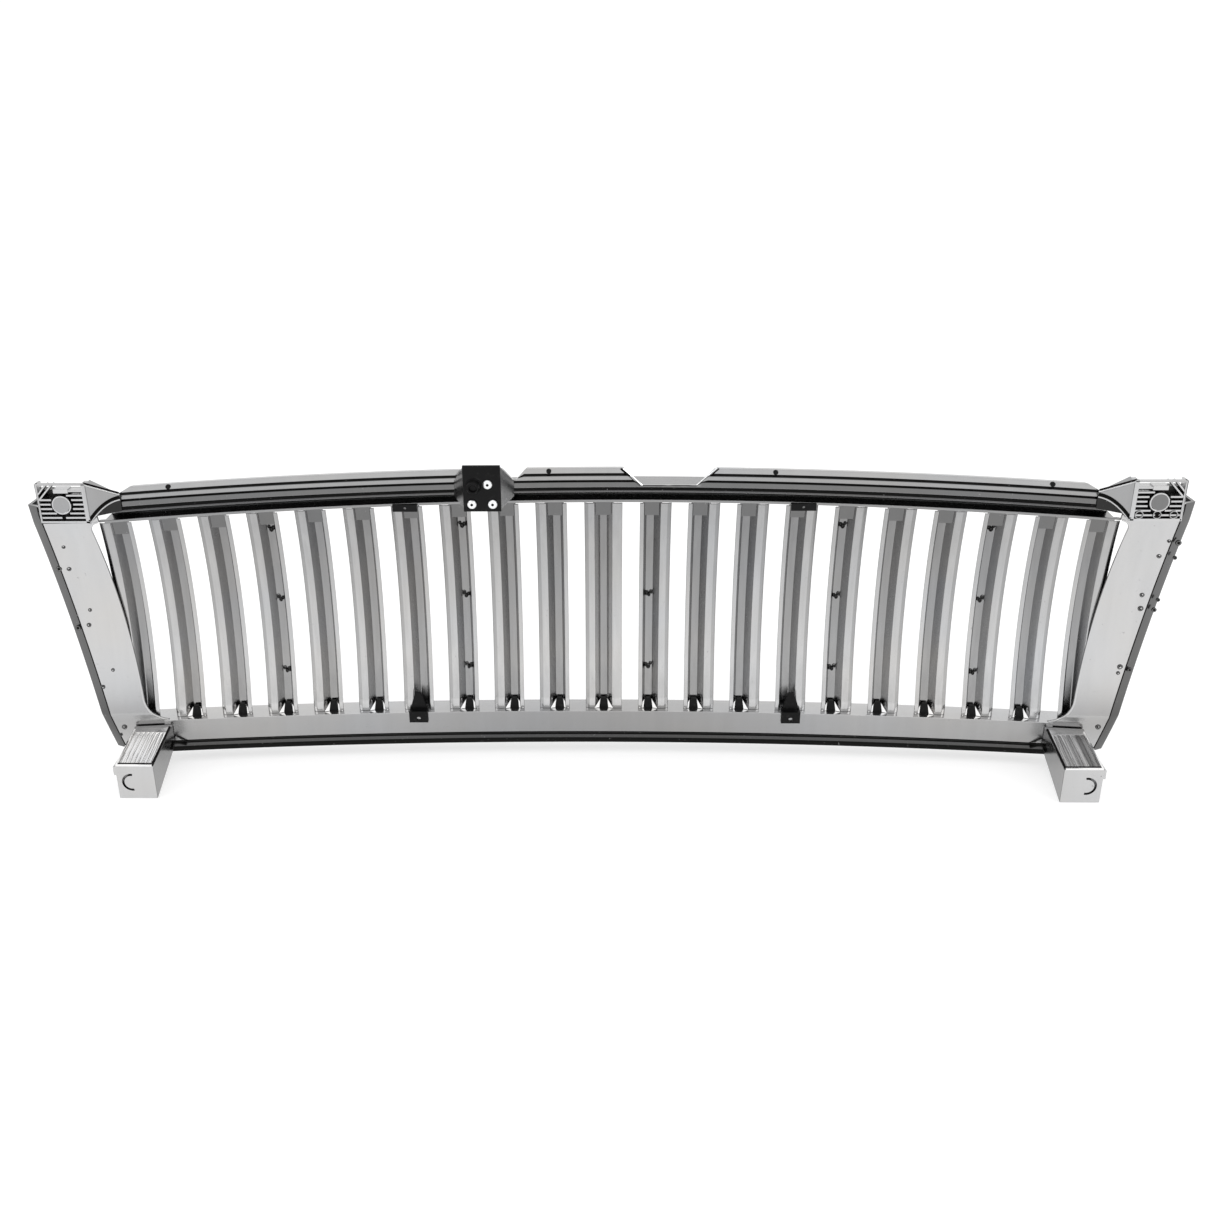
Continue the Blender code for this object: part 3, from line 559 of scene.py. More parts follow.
class GRILLE_OT_finishes(bpy.types.Operator):
    """Makes the chrome, bracket chrome, black plastic and zinc finishes"""

    bl_idname = "grille.finishes"
    bl_label = "Finishes"

    def execute(self, context):
        look = context.scene.grille_finish
        make_streak_group()
        make_wear_group()
        chrome, painted_shade_colour = tuple(look.chrome), tuple(look.shadow)
        make_metal("bar_chrome", chrome, painted_shade_colour, 0.13, 0.14, 240.0, 0.26, 0.05)
        make_metal("frame_chrome", chrome, painted_shade_colour, 0.12, 0.16, 90.0, 0.12, 0.03)
        make_metal("bracket_chrome", chrome, painted_shade_colour, 0.16, 0.12, 120.0, 0.16, 0.05)
        # Painted highlights: a near-white copy of the chrome for the beads, rims and facets that show as
        # bright lines.
        make_metal("highlight_chrome", (0.94, 0.94, 0.945), painted_shade_colour, 0.06, 0.08, 120.0, 0.06, 0.02)
        make_metal("zinc", tuple(look.zinc), painted_shade_colour, 0.28, 0.16, 300.0, 0.15, 0.1)
        make_plastic("black_plastic", tuple(look.black), 0.32)
        return {"FINISHED"}


# ---- bars -------------------------------------------------------------------------------------


def bar_centre(index):
    if index == 0:
        return 0.0
    return math.copysign(FIRST_BAR + (abs(index) - 1) * BAR_PITCH, index)


def hat_outline(index):
    """Closed hat channel, (across, rearward), with the shade of each of its edges."""
    if index:
        half, left, right, left_slope, right_slope = BAR_WIDTH / 2, 0.0038, 0.0095, 0.0022, 0.0060
    else:
        half, left, right, left_slope, right_slope = 0.01725, 0.0090, 0.0090, 0.0052, 0.0052
    shift = BAR_WALL * 0.6
    outline = [
        (-half, 0.0),
        (-half + left, 0.0),
        (-half + left + left_slope, -BAR_DEPTH),
        (half - right - right_slope, -BAR_DEPTH),
        (half - right, 0.0),
        (half - 0.0036, 0.0),
        (half, -0.0016),
        (half, -0.0016 - BAR_WALL * 0.7),
        (half - 0.0036, -BAR_WALL),
        (half - right + shift, -BAR_WALL),
        (half - right - right_slope + shift, -BAR_DEPTH - BAR_WALL),
        (-half + left + left_slope - shift, -BAR_DEPTH - BAR_WALL),
        (-half + left - shift, -BAR_WALL),
        (-half, -BAR_WALL),
    ]
    # Painted shade and reflections: each edge of the channel has its own shade, darker on the walls, the
    # floor and the outer edge.
    inner = INNER_SHADE if index else WALL_SHADE
    shades = [1.0, inner, FLOOR_SHADE, WALL_SHADE, 1.0, 0.75, 0.5] + [1.0] * 7
    return outline, shades


def on_bar(index, across, rear, z):
    """Place of points given across a bar, rearward of its face and by height."""
    x = bar_centre(index)
    side = -1.0 if index < 0 else 1.0
    turn = math.atan(x / SWEEP_RADIUS)
    w = rear + bow(z)
    px = x + side * across * math.cos(turn) - w * math.sin(turn)
    py = sweep(x) + side * across * math.sin(turn) + w * math.cos(turn)
    return np.stack(np.broadcast_arrays(px, py, z), -1)


def bar_shell(index, corner, stations):
    """The hat outline carried up the bowed face from the lower rail to the head comb."""
    outline, shades = hat_outline(index)
    loop, shade = rounded(outline, shades, corner)
    foot = -LOWER_TOP + FIT
    head = opening_top(abs(bar_centre(index)) + BAR_WIDTH / 2) - COMB_HEIGHT - 2 * FIT
    z = np.linspace(foot, head, stations)[:, None]
    grid = on_bar(index, loop[None, :, 0], loop[None, :, 1], z)
    # Painted shade: the colour darkens up the bar towards its head.
    fade = 1.0 - (1.0 - HEAD_SHADE) * np.clip((z - foot) / (head - foot), 0.0, 1.0) ** 1.4
    return tube_shell(grid, shade[None, :] * fade)


def channel_middle(index):
    return 0.0 if index == 0 else -BAR_WIDTH / 2 + 0.0038 + 0.0022 + 0.0035


class GRILLE_OT_bars(bpy.types.Operator):
    """Builds the twenty-one bars and the ejector pads in the marked ones"""

    bl_idname = "grille.bars"
    bl_label = "Bars"

    def execute(self, context):
        look = context.scene.grille_bars
        for place, index in enumerate(range(BARS_EACH_SIDE, -BARS_EACH_SIDE - 1, -1), start=1):
            name = f"bar_{place:02d}"
            made = bar_shell(index, look.corner, look.stations)
            piece(f"{name}_skin", [made], "bar_chrome", (name,))
        heights = (0.1885, 0.1775, 0.1030, 0.0310)
        shells = []
        for index in MARKED_BARS:
            for count, z in enumerate(heights[2:] if index == -1 else heights):
                for number, (along, up) in enumerate(((-0.0020, 0.0), (0.0018, 0.0012), (0.0, -0.0016))):
                    centre = on_bar(index, channel_middle(index) + along, -BAR_DEPTH, z + up)
                    r = look.pad_radius * (1.0 - 0.14 * ((count + number) % 3))
                    profile = [
                        (0.0004, -0.0002), (r, -0.0002), (r, 0.0005),
                        (r * 0.8, 0.0011), (r * 0.55, 0.0004), (0.0004, 0.0003),
                    ]
                    # Painted shade: each pad is painted near black in its cup and walls, with a lighter ring,
                    # lightest on the second pad of each three.
                    shades = (0.0, 0.0, 0.0, 0.3 + 0.4 * (number == 1), 0.0, 0.05)
                    shells.append(lathe(profile, centre, shades, sides=16, stretch=(1.0, 1.3)))
        piece("ejector_pads", shells, "bar_chrome")
        return {"FINISHED"}


# ---- rails ------------------------------------------------------------------------------------


def rail_grid(loop, x, y_of, z_of):
    """A rail outline carried along x on the swept, crowned line."""
    xs = x[:, None]
    return np.stack(
        np.broadcast_arrays(xs, y_of(xs) + loop[None, :, 0], z_of(xs) + loop[None, :, 1]), -1
    )


def vee(x, centre, low_half, high_half, low, high):
    """Height limit of a tapered notch: flat at its foot, rising to its mouth, open beyond."""
    out = np.abs(x - centre)
    rise = low + (out - low_half) / (high_half - low_half) * (high - low)
    return np.where(out > high_half, 1.0, np.maximum(rise, low))


def top_rail_outline():
    """Rear-opening channel with a stepped lip, as points and the shade of each edge."""
    inner = -RAIL_FRONT + RAIL_WALL
    front = LIP_REAR - 0.0043
    step = 0.0020
    # Painted shade and reflections: the channel's inside and the lip's steps are painted near black, with a
    # lighter strip low in the channel; the roof is greyed.
    rows = [
        (-RAIL_FRONT, 0.0, 1.0),
        (TOP_SILL, 0.0, 0.5),
        (TOP_SILL, RAIL_WALL, 0.60),
        (inner, RAIL_WALL, 0.50),
        (inner, RAIL_WALL + 0.0020, 0.03),
        (inner, TOP_MOUTH - 0.0035, 0.03),
        (LIP_REAR - 0.0006, TOP_MOUTH, 0.4),
        (LIP_REAR, TOP_MOUTH + 0.0008, 0.30),
        (LIP_REAR, TOP_MOUTH + 0.0050, 0.05),
        (LIP_REAR - step, TOP_MOUTH + 0.0056, 0.02),
        (LIP_REAR - step, TOP_MOUTH + 0.0064, 0.2),
        (LIP_REAR, TOP_MOUTH + 0.0070, 0.62),
        (LIP_REAR, TOP_MOUTH + 0.0108, 0.05),
        (LIP_REAR - step, TOP_MOUTH + 0.0116, 0.02),
        (LIP_REAR - 0.0014, TOP_MOUTH + 0.0130, 0.74),
        (LIP_REAR - 0.0014, LIP_TOP, 1.0),
        (front, LIP_TOP, 1.0),
        (front, TOP_MOUTH + TOP_ROOF, 0.46),
        (-RAIL_FRONT, TOP_MOUTH + TOP_ROOF, 1.0),
    ]
    return [row[:2] for row in rows], [row[2] for row in rows]


def lower_rail_outline():
    """Downward-opening channel with a grooved, rounded foot, as points and edge shades."""
    inner = LOWER_REAR - RAIL_WALL - 0.0016
    groove = -LOWER_TOP - LOWER_FACE
    foot = groove - LOWER_FOOT
    # Painted shade: the groove and the rounded foot are painted near black, the rear face grey.
    rows = [
        (-RAIL_FRONT, -LOWER_TOP, 0.95),
        (LOWER_REAR, -LOWER_TOP, 0.66),
        (LOWER_REAR, groove, 0.15),
        (LOWER_REAR - 0.0016, groove - 0.0010, 0.02),
        (LOWER_REAR - 0.0016, groove - 0.0022, 0.12),
        (LOWER_REAR + 0.0010, groove - 0.0030, 0.16),
        (LOWER_REAR + 0.0010, groove - 0.0060, 0.0),
        (LOWER_REAR - 0.0010, foot + 0.0022, 0.02),
        (LOWER_REAR - 0.0048, foot, 0.02),
        (inner - 0.0012, foot + 0.0030, 0.1),
        (inner, foot + 0.0052, 0.2),
        (inner, -LOWER_TOP - RAIL_WALL, 0.2),
        (-RAIL_FRONT + RAIL_WALL, -LOWER_TOP - RAIL_WALL, 0.2),
        (-RAIL_FRONT + RAIL_WALL, foot, 0.6),
        (-RAIL_FRONT, foot, 1.0),
    ]
    return [row[:2] for row in rows], [row[2] for row in rows]


class GRILLE_OT_rails(bpy.types.Operator):
    """Builds the top rail with its lip and notches, and the lower rail"""

    bl_idname = "grille.rails"
    bl_label = "Rails"

    def execute(self, context):
        look = context.scene.grille_frame
        self.top_rail(look.corner)
        self.lower_rail(look.corner)
        return {"FINISHED"}

    def top_rail(self, corner):
        outline, shades = top_rail_outline()
        loop, shade = rounded(outline, shades, corner)
        low = OPENING_HEIGHT + TOP_MOUTH + 0.0014
        high = OPENING_HEIGHT + LIP_TOP
        ends = opening_top(TOP_RAIL_HALF)
        edges = []
        for way in (-1, 1):
            edges += [NOTCH_X + way * half for half in (NOTCH_HALF, NOTCH_HALF + HAIR)]
            edges += [NOTCH_X + way * (NOTCH_MOUTH + more) for more in (-HAIR, 0.0, HAIR)]
            edges += [VEE_X + way * half for half in (VEE_FOOT, VEE_FOOT + HAIR)]
            edges += [VEE_X + way * half for half in (VEE_MOUTH, VEE_MOUTH + HAIR)]
            edges += [way * (TOP_RAIL_HALF - back) for back in (LIP_END, LIP_END - HAIR, LIP_END_FLAT)]
        x = np.union1d(np.linspace(-TOP_RAIL_HALF, TOP_RAIL_HALF, 160), edges)
        grid = rail_grid(loop, x, lambda at: sweep(at) + TOP_SETBACK, opening_top)
        limit = np.minimum(
            vee(x, NOTCH_X, NOTCH_HALF, NOTCH_MOUTH, low, high + 0.0006),
            vee(x, VEE_X, VEE_FOOT, VEE_MOUTH, low + 0.0060, high + 0.0002),
        )
        inboard = TOP_RAIL_HALF - np.abs(x)
        rise = np.clip((inboard - LIP_END_FLAT) / (LIP_END - LIP_END_FLAT), 0.0, 1.0)
        slope = ends + TOP_MOUTH + LIP_END_LOW + rise * LIP_END_RISE
        limit = np.minimum(limit, np.where(inboard < LIP_END, slope, 1.0))
        grid[:, :, 2] = np.minimum(grid[:, :, 2], limit[:, None])
        made = tube_shell(grid, np.broadcast_to(shade, grid.shape[:2]))
        piece("top_rail_skin", [made], "frame_chrome", ("top_rail",))
        back = sweep(NOTCH_X) + TOP_SETBACK + LIP_REAR - 0.0012
        # Painted highlight and shadow: a near-white bead along each slanted notch edge, with a dark line
        # beside it.
        bright, dark = [], []
        for way in (-1, 1):
            foot = np.array((NOTCH_X + way * NOTCH_HALF, back, low + 0.0004))
            mouth = np.array((NOTCH_X + way * (NOTCH_MOUTH - 0.0003), back, high - 0.0008))
            share = np.linspace(0.0, 1.0, 8)[:, None]
            line = foot + share * (mouth - foot)
            bright.append(pipe(line, 0.0007, sides=10))
            dark.append(pipe(line + (way * 0.0019, 0.0002, -0.0003), 0.0008, 0.0, sides=8))
        piece("notch_beads", bright, "highlight_chrome")
        piece("notch_shadow_lines", dark, "frame_chrome")

    def lower_rail(self, corner):
        outline, shades = lower_rail_outline()
        loop, shade = rounded(outline, shades, corner)
        edges = [way * (LOWER_RAIL_HALF + more) for way in (-1, 1) for more in (0.0, HAIR)]
        x = np.union1d(np.linspace(-LOWER_RAIL_END, LOWER_RAIL_END, 150), edges)
        grid = rail_grid(loop, x, sweep, lambda at: at * 0.0)
        cut = np.where(np.abs(x) > LOWER_RAIL_HALF + HAIR / 2, 0.0011, 1.0)
        skin = (sweep(x) + cut)[:, None]
        grid[:, :, 1] = np.minimum(grid[:, :, 1], skin)
        # Painted reflection: the colour lightens towards the rail's ends.
        fade = 0.86 + 0.18 * np.clip(np.abs(x) / 0.22, 0.0, 1.0) ** 2
        made = tube_shell(grid, np.clip(shade[None, :] * fade[:, None], 0.0, 1.0))
        piece("lower_rail_skin", [made], "frame_chrome", ("lower_rail",))


# ---- side panels --------------------------------------------------------------------------------

# Ejector spots on the panels, (distance from the centre line, height), in millimetres.
LEFT_SPOTS = (
    (487.5, 170.1), (488.0, 146.8), (496.8, 147.2), (477.3, 103.4), (480.5, 88.2),
    (490.8, 85.7), (463.8, 42.6), (474.3, 26.7), (457.8, -13.5), (462.3, -21.5),
)
RIGHT_SPOTS = (
    (495.5, 174.8), (490.9, 159.0), (503.7, 173.1), (504.5, 157.7), (484.6, 118.8), (485.6, 105.2),
    (499.0, 114.5), (497.3, 104.4), (475.1, 47.4), (473.9, 41.6), (483.7, 45.0), (460.4, -10.4),
)


def panel_heights():
    """Heights of the panel's rings, closer together round the corners of the opening."""
    foot, head = -LOWER_TOP, opening_top(OUTER_BAR)
    bend = 1 - np.cos(np.linspace(0.0, math.pi / 2, 14))
    return np.unique(
        np.concatenate(
            [
                np.linspace(-PANEL_FOOT, foot - FIT, 6),
                foot + FOOT_CORNER * bend,
                np.linspace(foot + FOOT_CORNER, head - HEAD_CORNER, 36),
                head - HEAD_CORNER * bend[1:-1],
                [head - 0.00005, head + FIT, PANEL_HEAD],
            ]
        )
    )


def panel_shell(side, corner):
    """The panel outline carried up the face between the opening's edge and the outer edge."""
    z = panel_heights()
    inner, outer = opening_x(z), panel_x(z)
    front = np.maximum(inner + 0.0120, OUTER_BAR + BAR_WIDTH / 2 + 0.0012)
    # Painted shade and reflections: the outer strip and the walls are painted darker than the panel's rear
    # face.
    table = [
        (inner, PANEL_REAR, 1.0),
        (outer - PANEL_STRIP, PANEL_REAR, 0.24),
        (outer, -0.0010, 0.15),
        (outer - 0.0010, -RAIL_FRONT, 1.0),
        (front, -RAIL_FRONT, 0.8),
        (front, -RAIL_FRONT + PANEL_WALL, 0.9),
        (outer - 0.0034, -RAIL_FRONT + PANEL_WALL, 0.6),
        (outer - 0.0028, -0.0025, 0.4),
        (outer - PANEL_STRIP - 0.0008, PANEL_REAR - PANEL_WALL, 0.3),
        (inner, PANEL_REAR - PANEL_WALL, 0.55),
    ]
    rings, shade = [], None
    for row in range(len(z)):
        loop, shade = rounded([(x[row], y) for x, y, _ in table], [s for *_, s in table], corner)
        y = sweep(loop[:, 0]) + bow(z[row]) + loop[:, 1]
        rings.append(np.stack([side * loop[:, 0], y, np.full(len(loop), z[row])], -1))
    # Painted shade: the colour darkens near the lower rail.
    fade = 1.0 - 0.28 * np.exp(-(((z + LOWER_TOP) / 0.022) ** 2))
    return tube_shell(np.array(rings), shade[None, :] * fade[:, None])


class GRILLE_OT_panels(bpy.types.Operator):
    """Builds the side panels, the rolled edge round the opening and the panels' ejector spots"""

    bl_idname = "grille.panels"
    bl_label = "Side panels"

    def execute(self, context):
        look = context.scene.grille_frame
        for hand, side, spots in (("left", 1, LEFT_SPOTS), ("right", -1, RIGHT_SPOTS)):
            node = f"side_panel_{hand}"
            piece(f"{node}_skin", [panel_shell(side, look.corner)], "frame_chrome", (node,))
            z = panel_heights()
            z = z[(z > -LOWER_TOP + 0.00001) & (z < opening_top(OUTER_BAR))]
            x = opening_x(z) + 0.0004
            edge = np.stack([side * x, sweep(x) + bow(z) + PANEL_REAR, z], -1)
            bead = pipe(edge, look.bead, sides=10, squash=0.6)
            piece(f"opening_edge_{hand}", [bead], "frame_chrome")
            height = np.linspace(-PANEL_FOOT + 0.001, PANEL_HEAD - 0.001, 60)
            out = panel_x(height) - PANEL_STRIP
            line = np.stack([side * out, sweep(out) + bow(height) + PANEL_REAR, height], -1)
            # Painted shade: a near-black line along the inner edge of the outer strip.
            shells = [pipe(line, 0.0006, 0.02, sides=8, squash=0.6)]
            for count, (across, up) in enumerate(spots):
                px, pz = across / 1000, up / 1000
                r = 0.0018 + 0.0004 * (count % 3)
                py = sweep(px) + bow(pz) + PANEL_REAR
                profile = [
                    (0.0002, -0.001), (r, -0.001), (r, 0.0003),
                    (r * 0.7, 0.0006), (r * 0.4, 0.0001), (0.0002, 0.0),
                ]
                # Each spot is painted near black, with a lighter ring round its top.
                shells.append(lathe(profile, (side * px, py, pz), (0, 0, 0.02, 0.35, 0.0, 0.0), sides=16))
            piece(f"panel_spots_{hand}", shells, "frame_chrome")
        return {"FINISHED"}


# ---- corner mounts, legs and combs ------------------------------------------------------------------


def strip(start, end, width, near, far, shade):
    """Closed straight bar in the upright plane, from one (x, z) to another, between two depths."""
    start, end = np.asarray(start, float), np.asarray(end, float)
    along = (end - start) / np.linalg.norm(end - start)
    square = np.array((-along[1], along[0])) * width / 2
    corners = np.array([start - square, end - square, end + square, start + square])
    rings = [np.stack([corners[:, 0], np.full(4, y), corners[:, 1]], -1) for y in (near, far)]
    return tube_shell(np.array(rings), shade)


def mount_shells(side):
    """Ribbed block: a floor, four walls, thin ribs either side of a round boss, and the gusset."""
    inner = TOP_RAIL_HALF + 3 * FIT + 0.0022
    outer = inner + MOUNT_WIDTH
    low, high = MOUNT_FOOT, MOUNT_FOOT + MOUNT_HEIGHT
    rear = sweep(inner) + TOP_SETBACK + PANEL_REAR + MOUNT_DEPTH
    front = sweep(outer) + TOP_SETBACK + PANEL_REAR + FIT
    floor = rear - MOUNT_POCKET

    def block(x0, x1, y0, y1, z0, z1, shade):
        return slab((min(side * x0, side * x1), y0, z0), (max(side * x0, side * x1), y1, z1), shade)

    # Painted shade: the pocket floor is painted near black; the walls, ribs and ledge are near full chrome.
    made = [
        block(inner, outer, front, floor, low, high - 0.0080, 0.03),
        block(inner, inner + 0.0036, floor - 0.001, rear, low, high, 0.95),
        block(outer - 0.0016, outer, floor - 0.001, rear, low, high, 0.9),
        block(inner, outer, floor - 0.001, rear, low, low + 0.0020, 1.0),
        block(inner, outer, rear - 0.0040, rear, high - 0.0014, high, 0.8),
    ]
    middle_x, middle_z = (inner + outer) / 2 + 0.001, (low + high) / 2 - 0.0012
    radius = BOSS_RADIUS
    for row, z in enumerate(low + 0.0048 + RIB_PITCH * np.arange(7)):
        reach = math.sqrt(max((radius + 0.0012) ** 2 - (z - middle_z) ** 2, 0.0016**2))
        spans = [(inner + 0.003, middle_x - reach), (middle_x + reach, outer - 0.001)]
        for near, far in spans if row < 5 else spans[:1]:
            made.append(block(near, far, floor, rear - 0.0007, z - RIB_HALF, z + RIB_HALF, 0.95))
    profile = [
        (0.0002, -0.0100), (radius, -0.0100), (radius, 0.0004), (radius - 0.0005, 0.0009),
        (radius - 0.0012, 0.0009), (radius - 0.0016, 0.0004), (0.0002, 0.0003),
    ]
    # The boss's face is painted mid grey, darker on the right mount.
    face = 0.62 if side > 0 else 0.34
    shades = (0.2, 0.2, 0.7, 1.0, 1.0, face, face)
    made.append(lathe(profile, (side * middle_x, rear, middle_z), shades, sides=48))
    ledge = (middle_x - 0.0072, middle_x + 0.0058, floor, rear - 0.0002, high - 0.0086, high - 0.0046)
    made.append(block(*ledge, 1.0))
    for back in (0.0, 0.0052):
        made.append(
            strip(
                (side * (outer - 0.0012), high - 0.0150 + back),
                (side * (outer - 0.0140 + back), high - 0.0012),
                0.0015, floor, rear - 0.0004, 1.0,
            )
        )
    if side < 0:
        hole = [
            (0.0001, -0.002), (0.0030, -0.002), (0.0038, 0.0002),
            (0.0030, 0.0006), (0.0024, -0.001), (0.0001, -0.001),
        ]
        # Painted shade: the three holes are painted black inside, with a lighter rim.
        tones = (0, 0, 0.5, 0.9, 0.0, 0.0)
        for across in (0.0075, 0.0225, 0.0365):
            made.append(lathe(hole, (-inner - across, rear, low + 0.0055), tones, sides=24))
    back = sweep(inner) + TOP_SETBACK + LIP_REAR + 2 * FIT
    reach = inner - 0.0230
    web = sweep(reach) + TOP_SETBACK + LIP_REAR + 2 * FIT
    foot = opening_top(inner) + TOP_MOUTH
    share = np.linspace(0.0, 1.0, 14)
    x = side * (inner + 0.001 + share * (reach - inner - 0.001))
    front_y, rear_y = back + share * (web - back), rear - 0.001 + share * (web + 0.003 - rear)
    tip = foot + 0.0105
    under = tip + (low + 0.001 - tip) * (1 - share) ** 2
    over = high - 0.001 + share * (tip + 0.0030 - high + 0.001)
    corners = ((front_y, under), (rear_y, under), (rear_y, over), (front_y, over))
    # Painted shade: the gusset is painted grey, and a near-black plate behind it fills the gap under it with
    # dark.
    made.append(tube_shell(np.stack([np.stack([x, y, z], -1) for y, z in corners], 1), 0.62))
    plate_x = side * np.array((inner + 0.001, reach, reach, inner + 0.001))
    plate_z = np.array((low + 0.001, foot - 0.002, tip, tip + 0.004))
    plate_y = np.array((back, web, web, back))
    faces = [np.stack([plate_x, plate_y + deep, plate_z], -1) for deep in (0.0, 0.0012)]
    made.append(tube_shell(np.array(faces), 0.05))
    # Painted highlight and shadow: bright beads along the gusset's top and bottom edges, each with a dark
    # line beside it.
    beads = (
        (over, 0.0, 0.0010, 1.0),
        (over, 0.0018, 0.0008, 0.0),
        (under, 0.0008, 0.0016, 0.0),
        (under, -0.0014, 0.0010, 1.0),
    )
    for height, lift, thick, shade in beads:
        made.append(pipe(np.stack([x, rear_y, height + lift], -1), thick, shade, sides=8))
    return made


def strip_along(near, far, outline_of, shade, count=60):
    """Closed strip on the swept line: a four-cornered section carried along x."""
    x = np.linspace(near, far, count)
    corners = [np.stack(np.broadcast_arrays(x, y, z), -1) for y, z in outline_of(x)]
    return tube_shell(np.stack(corners, 1), shade)


def head_shells():
    """The head comb: a carrier under the rail and a step that fills the top of each channel."""
    near, far = TOP_SETBACK - BAR_DEPTH + FIT, TOP_SETBACK - BAR_DEPTH / 2

    def section(x):
        top = opening_top(x)
        return [
            (sweep(x) + near, top - 0.0014), (sweep(x) + far, top - 0.0014),
            (sweep(x) + far, top - FIT), (sweep(x) + near, top - FIT),
        ]

    half = OUTER_BAR + BAR_WIDTH / 2
    # Painted shade: the carrier and the step in each channel are painted dark grey.
    made = [strip_along(-half, half, section, 0.3)]
    for index in range(-BARS_EACH_SIDE, BARS_EACH_SIDE + 1):
        across = np.array((-0.0084, -0.0098, 0.0030, -0.0012))
        if index == 0:
            across = np.array((-0.0031, -0.0068, 0.0068, 0.0031))
        head = opening_top(bar_centre(index)) - COMB_HEIGHT / 2
        z = np.array((head - 0.0150, head - 0.0145, head))[:, None]
        rear = np.array((-BAR_DEPTH + 0.0003, -0.0025, -0.0025, -BAR_DEPTH + 0.0003))
        made.append(tube_shell(on_bar(index, across[None], rear[None], z), 0.30))
    return made


def toothed_bars():
    """Bars whose feet hold a tooth: all but the outermost and the two behind the brackets."""
    return [i for i in range(-BARS_EACH_SIDE, BARS_EACH_SIDE + 1) if abs(i) not in (4, BARS_EACH_SIDE)]


def foot_shells():
    """The foot comb: a carrier inside the lower rail and a tapered tooth in each bar's foot."""
    high = -LOWER_TOP - RAIL_WALL - FIT

    def section(x):
        y = sweep(x)
        low = high - COMB_HEIGHT
        return [(y - 0.0060, low), (y, low), (y, high), (y - 0.0060, high)]

    reach = LOWER_RAIL_HALF - FIT
    made = [strip_along(-reach, reach, section, 0.0)]
    # Painted shade: the black teeth paint the deep shade at the foot of each channel.
    for index in toothed_bars():
        middle = channel_middle(index)
        z = np.array((high - 0.0010, -0.0070, 0.0006, 0.0020))[:, None]
        half = np.array((0.0041, 0.0041, 0.0027, 0.0023))[:, None]
        across = middle + half * np.array((-1.0, 1.0, 1.0, -1.0))[None]
        rear = np.array((-0.0045, -0.0045, -0.0006, -0.0006))[None] - 0.0012 * (z > 0.0)
        made.append(tube_shell(on_bar(index, across, rear, z), 0.0))
    return made


def facet_shells():
    """Moulded facets that flank each tooth at the foot of its channel, made bright in the near-white chrome
    as painted highlights.
    """
    made = []
    for index in toothed_bars():
        middle = channel_middle(index)
        for way in (-1, 1):
            across = middle + way * np.array(((0.0044, 0.0088, 0.0062), (0.0031, 0.0032, 0.0033)))
            rear = np.array(((-0.0008, 0.0004, -0.0050), (-0.0034, -0.0035, -0.0037)))
            z = np.array(((-0.0074, -0.0074, -0.0074), (0.0010, 0.0008, 0.0009)))
            made.append(tube_shell(on_bar(index, across, rear, z), 1.0))
    return made


def leg_line(side, share, root, tail, lift=0.0):
    """Line along a leg's sloping top at a share of its width, between two depths."""
    y = np.linspace(root, tail, 12)
    start = sweep(OUTER_BAR) + LOWER_REAR
    z = LEG_TOP - LEG_DROP * (y - start) / (LEG_REAR - start) + lift
    return np.stack([np.full(12, side * (LEG_INNER + LEG_WIDTH * share)), y, z], -1)


def leg_ridges(side):
    """Lengthwise ridges side by side that make the leg's top."""
    # Painted reflections: the right leg's ridges are painted in light and dark streaks; the left leg's are
    # full chrome.
    tones = (0.95, 0.72, 0.9, 0.6, 0.95, 0.34, 0.55)
    shares = (0.12, 0.24, 0.38, 0.50, 0.62, 0.75, 0.88)
    made = []
    for share, tone in zip(shares, tones):
        line = leg_line(side, share, sweep(OUTER_BAR) + LEG_ROOT, LEG_REAR - 0.0030, -0.0011)
        made.append(pipe(line, 0.0027, tone if side < 0 else 1.0, sides=12, squash=0.3))
    return made


def leg_trim(side):
    """The leg's inner face, painted a darker grey, painted dark lines along its top edge and across its rear
    end, and the clip at its root.
    """
    root = sweep(OUTER_BAR) + LEG_ROOT
    made = [] if side > 0 else leg_ridges(side)
    joint = sweep(LEG_INNER) + LOWER_REAR + 2 * FIT
    # Painted shade: a thin mid-grey sheet laid on the inner face darkens it.
    face_x = side * (LEG_INNER + np.array((-0.0003, 0.0002, 0.0002, -0.0003)))
    rings = []
    near = (joint + 0.001, -0.0330, LEG_TOP - 0.001)
    far = (LEG_REAR - 0.0004, -0.0540, LEG_TOP - LEG_DROP)
    for y, low, high in (near, far):
        rings.append(np.stack([face_x, np.full(4, y), np.array((low, low, high, high))], -1))
    made.append(tube_shell(np.array(rings), 0.52))
    clip = (
        (-0.0110, 0.0005, -0.0335),
        (-0.0050, 0.0030, -0.0300),
        (-0.0008, 0.0060, -0.0285),
        (-0.0006, 0.0140, -0.0300),
    )
    clip = np.array([(side * (LEG_INNER + x), joint + y, z) for x, y, z in clip])
    made.append(pipe(clip, 0.0014, 0.0, sides=8))
    # Painted shade: near-black lines along the inner top edge and across the rear end.
    made.append(pipe(leg_line(side, 0.035, root, LEG_REAR - 0.001, 0.0002), 0.0012, 0.0, sides=8))
    cross = leg_line(side, 0.05, LEG_REAR - 0.0034, LEG_REAR - 0.0034, 0.0002)
    cross[:, 0] = side * (LEG_INNER + LEG_WIDTH * np.linspace(0.05, 0.97, 12))
    made.append(pipe(cross, 0.0010, 0.0, sides=8))
    return made


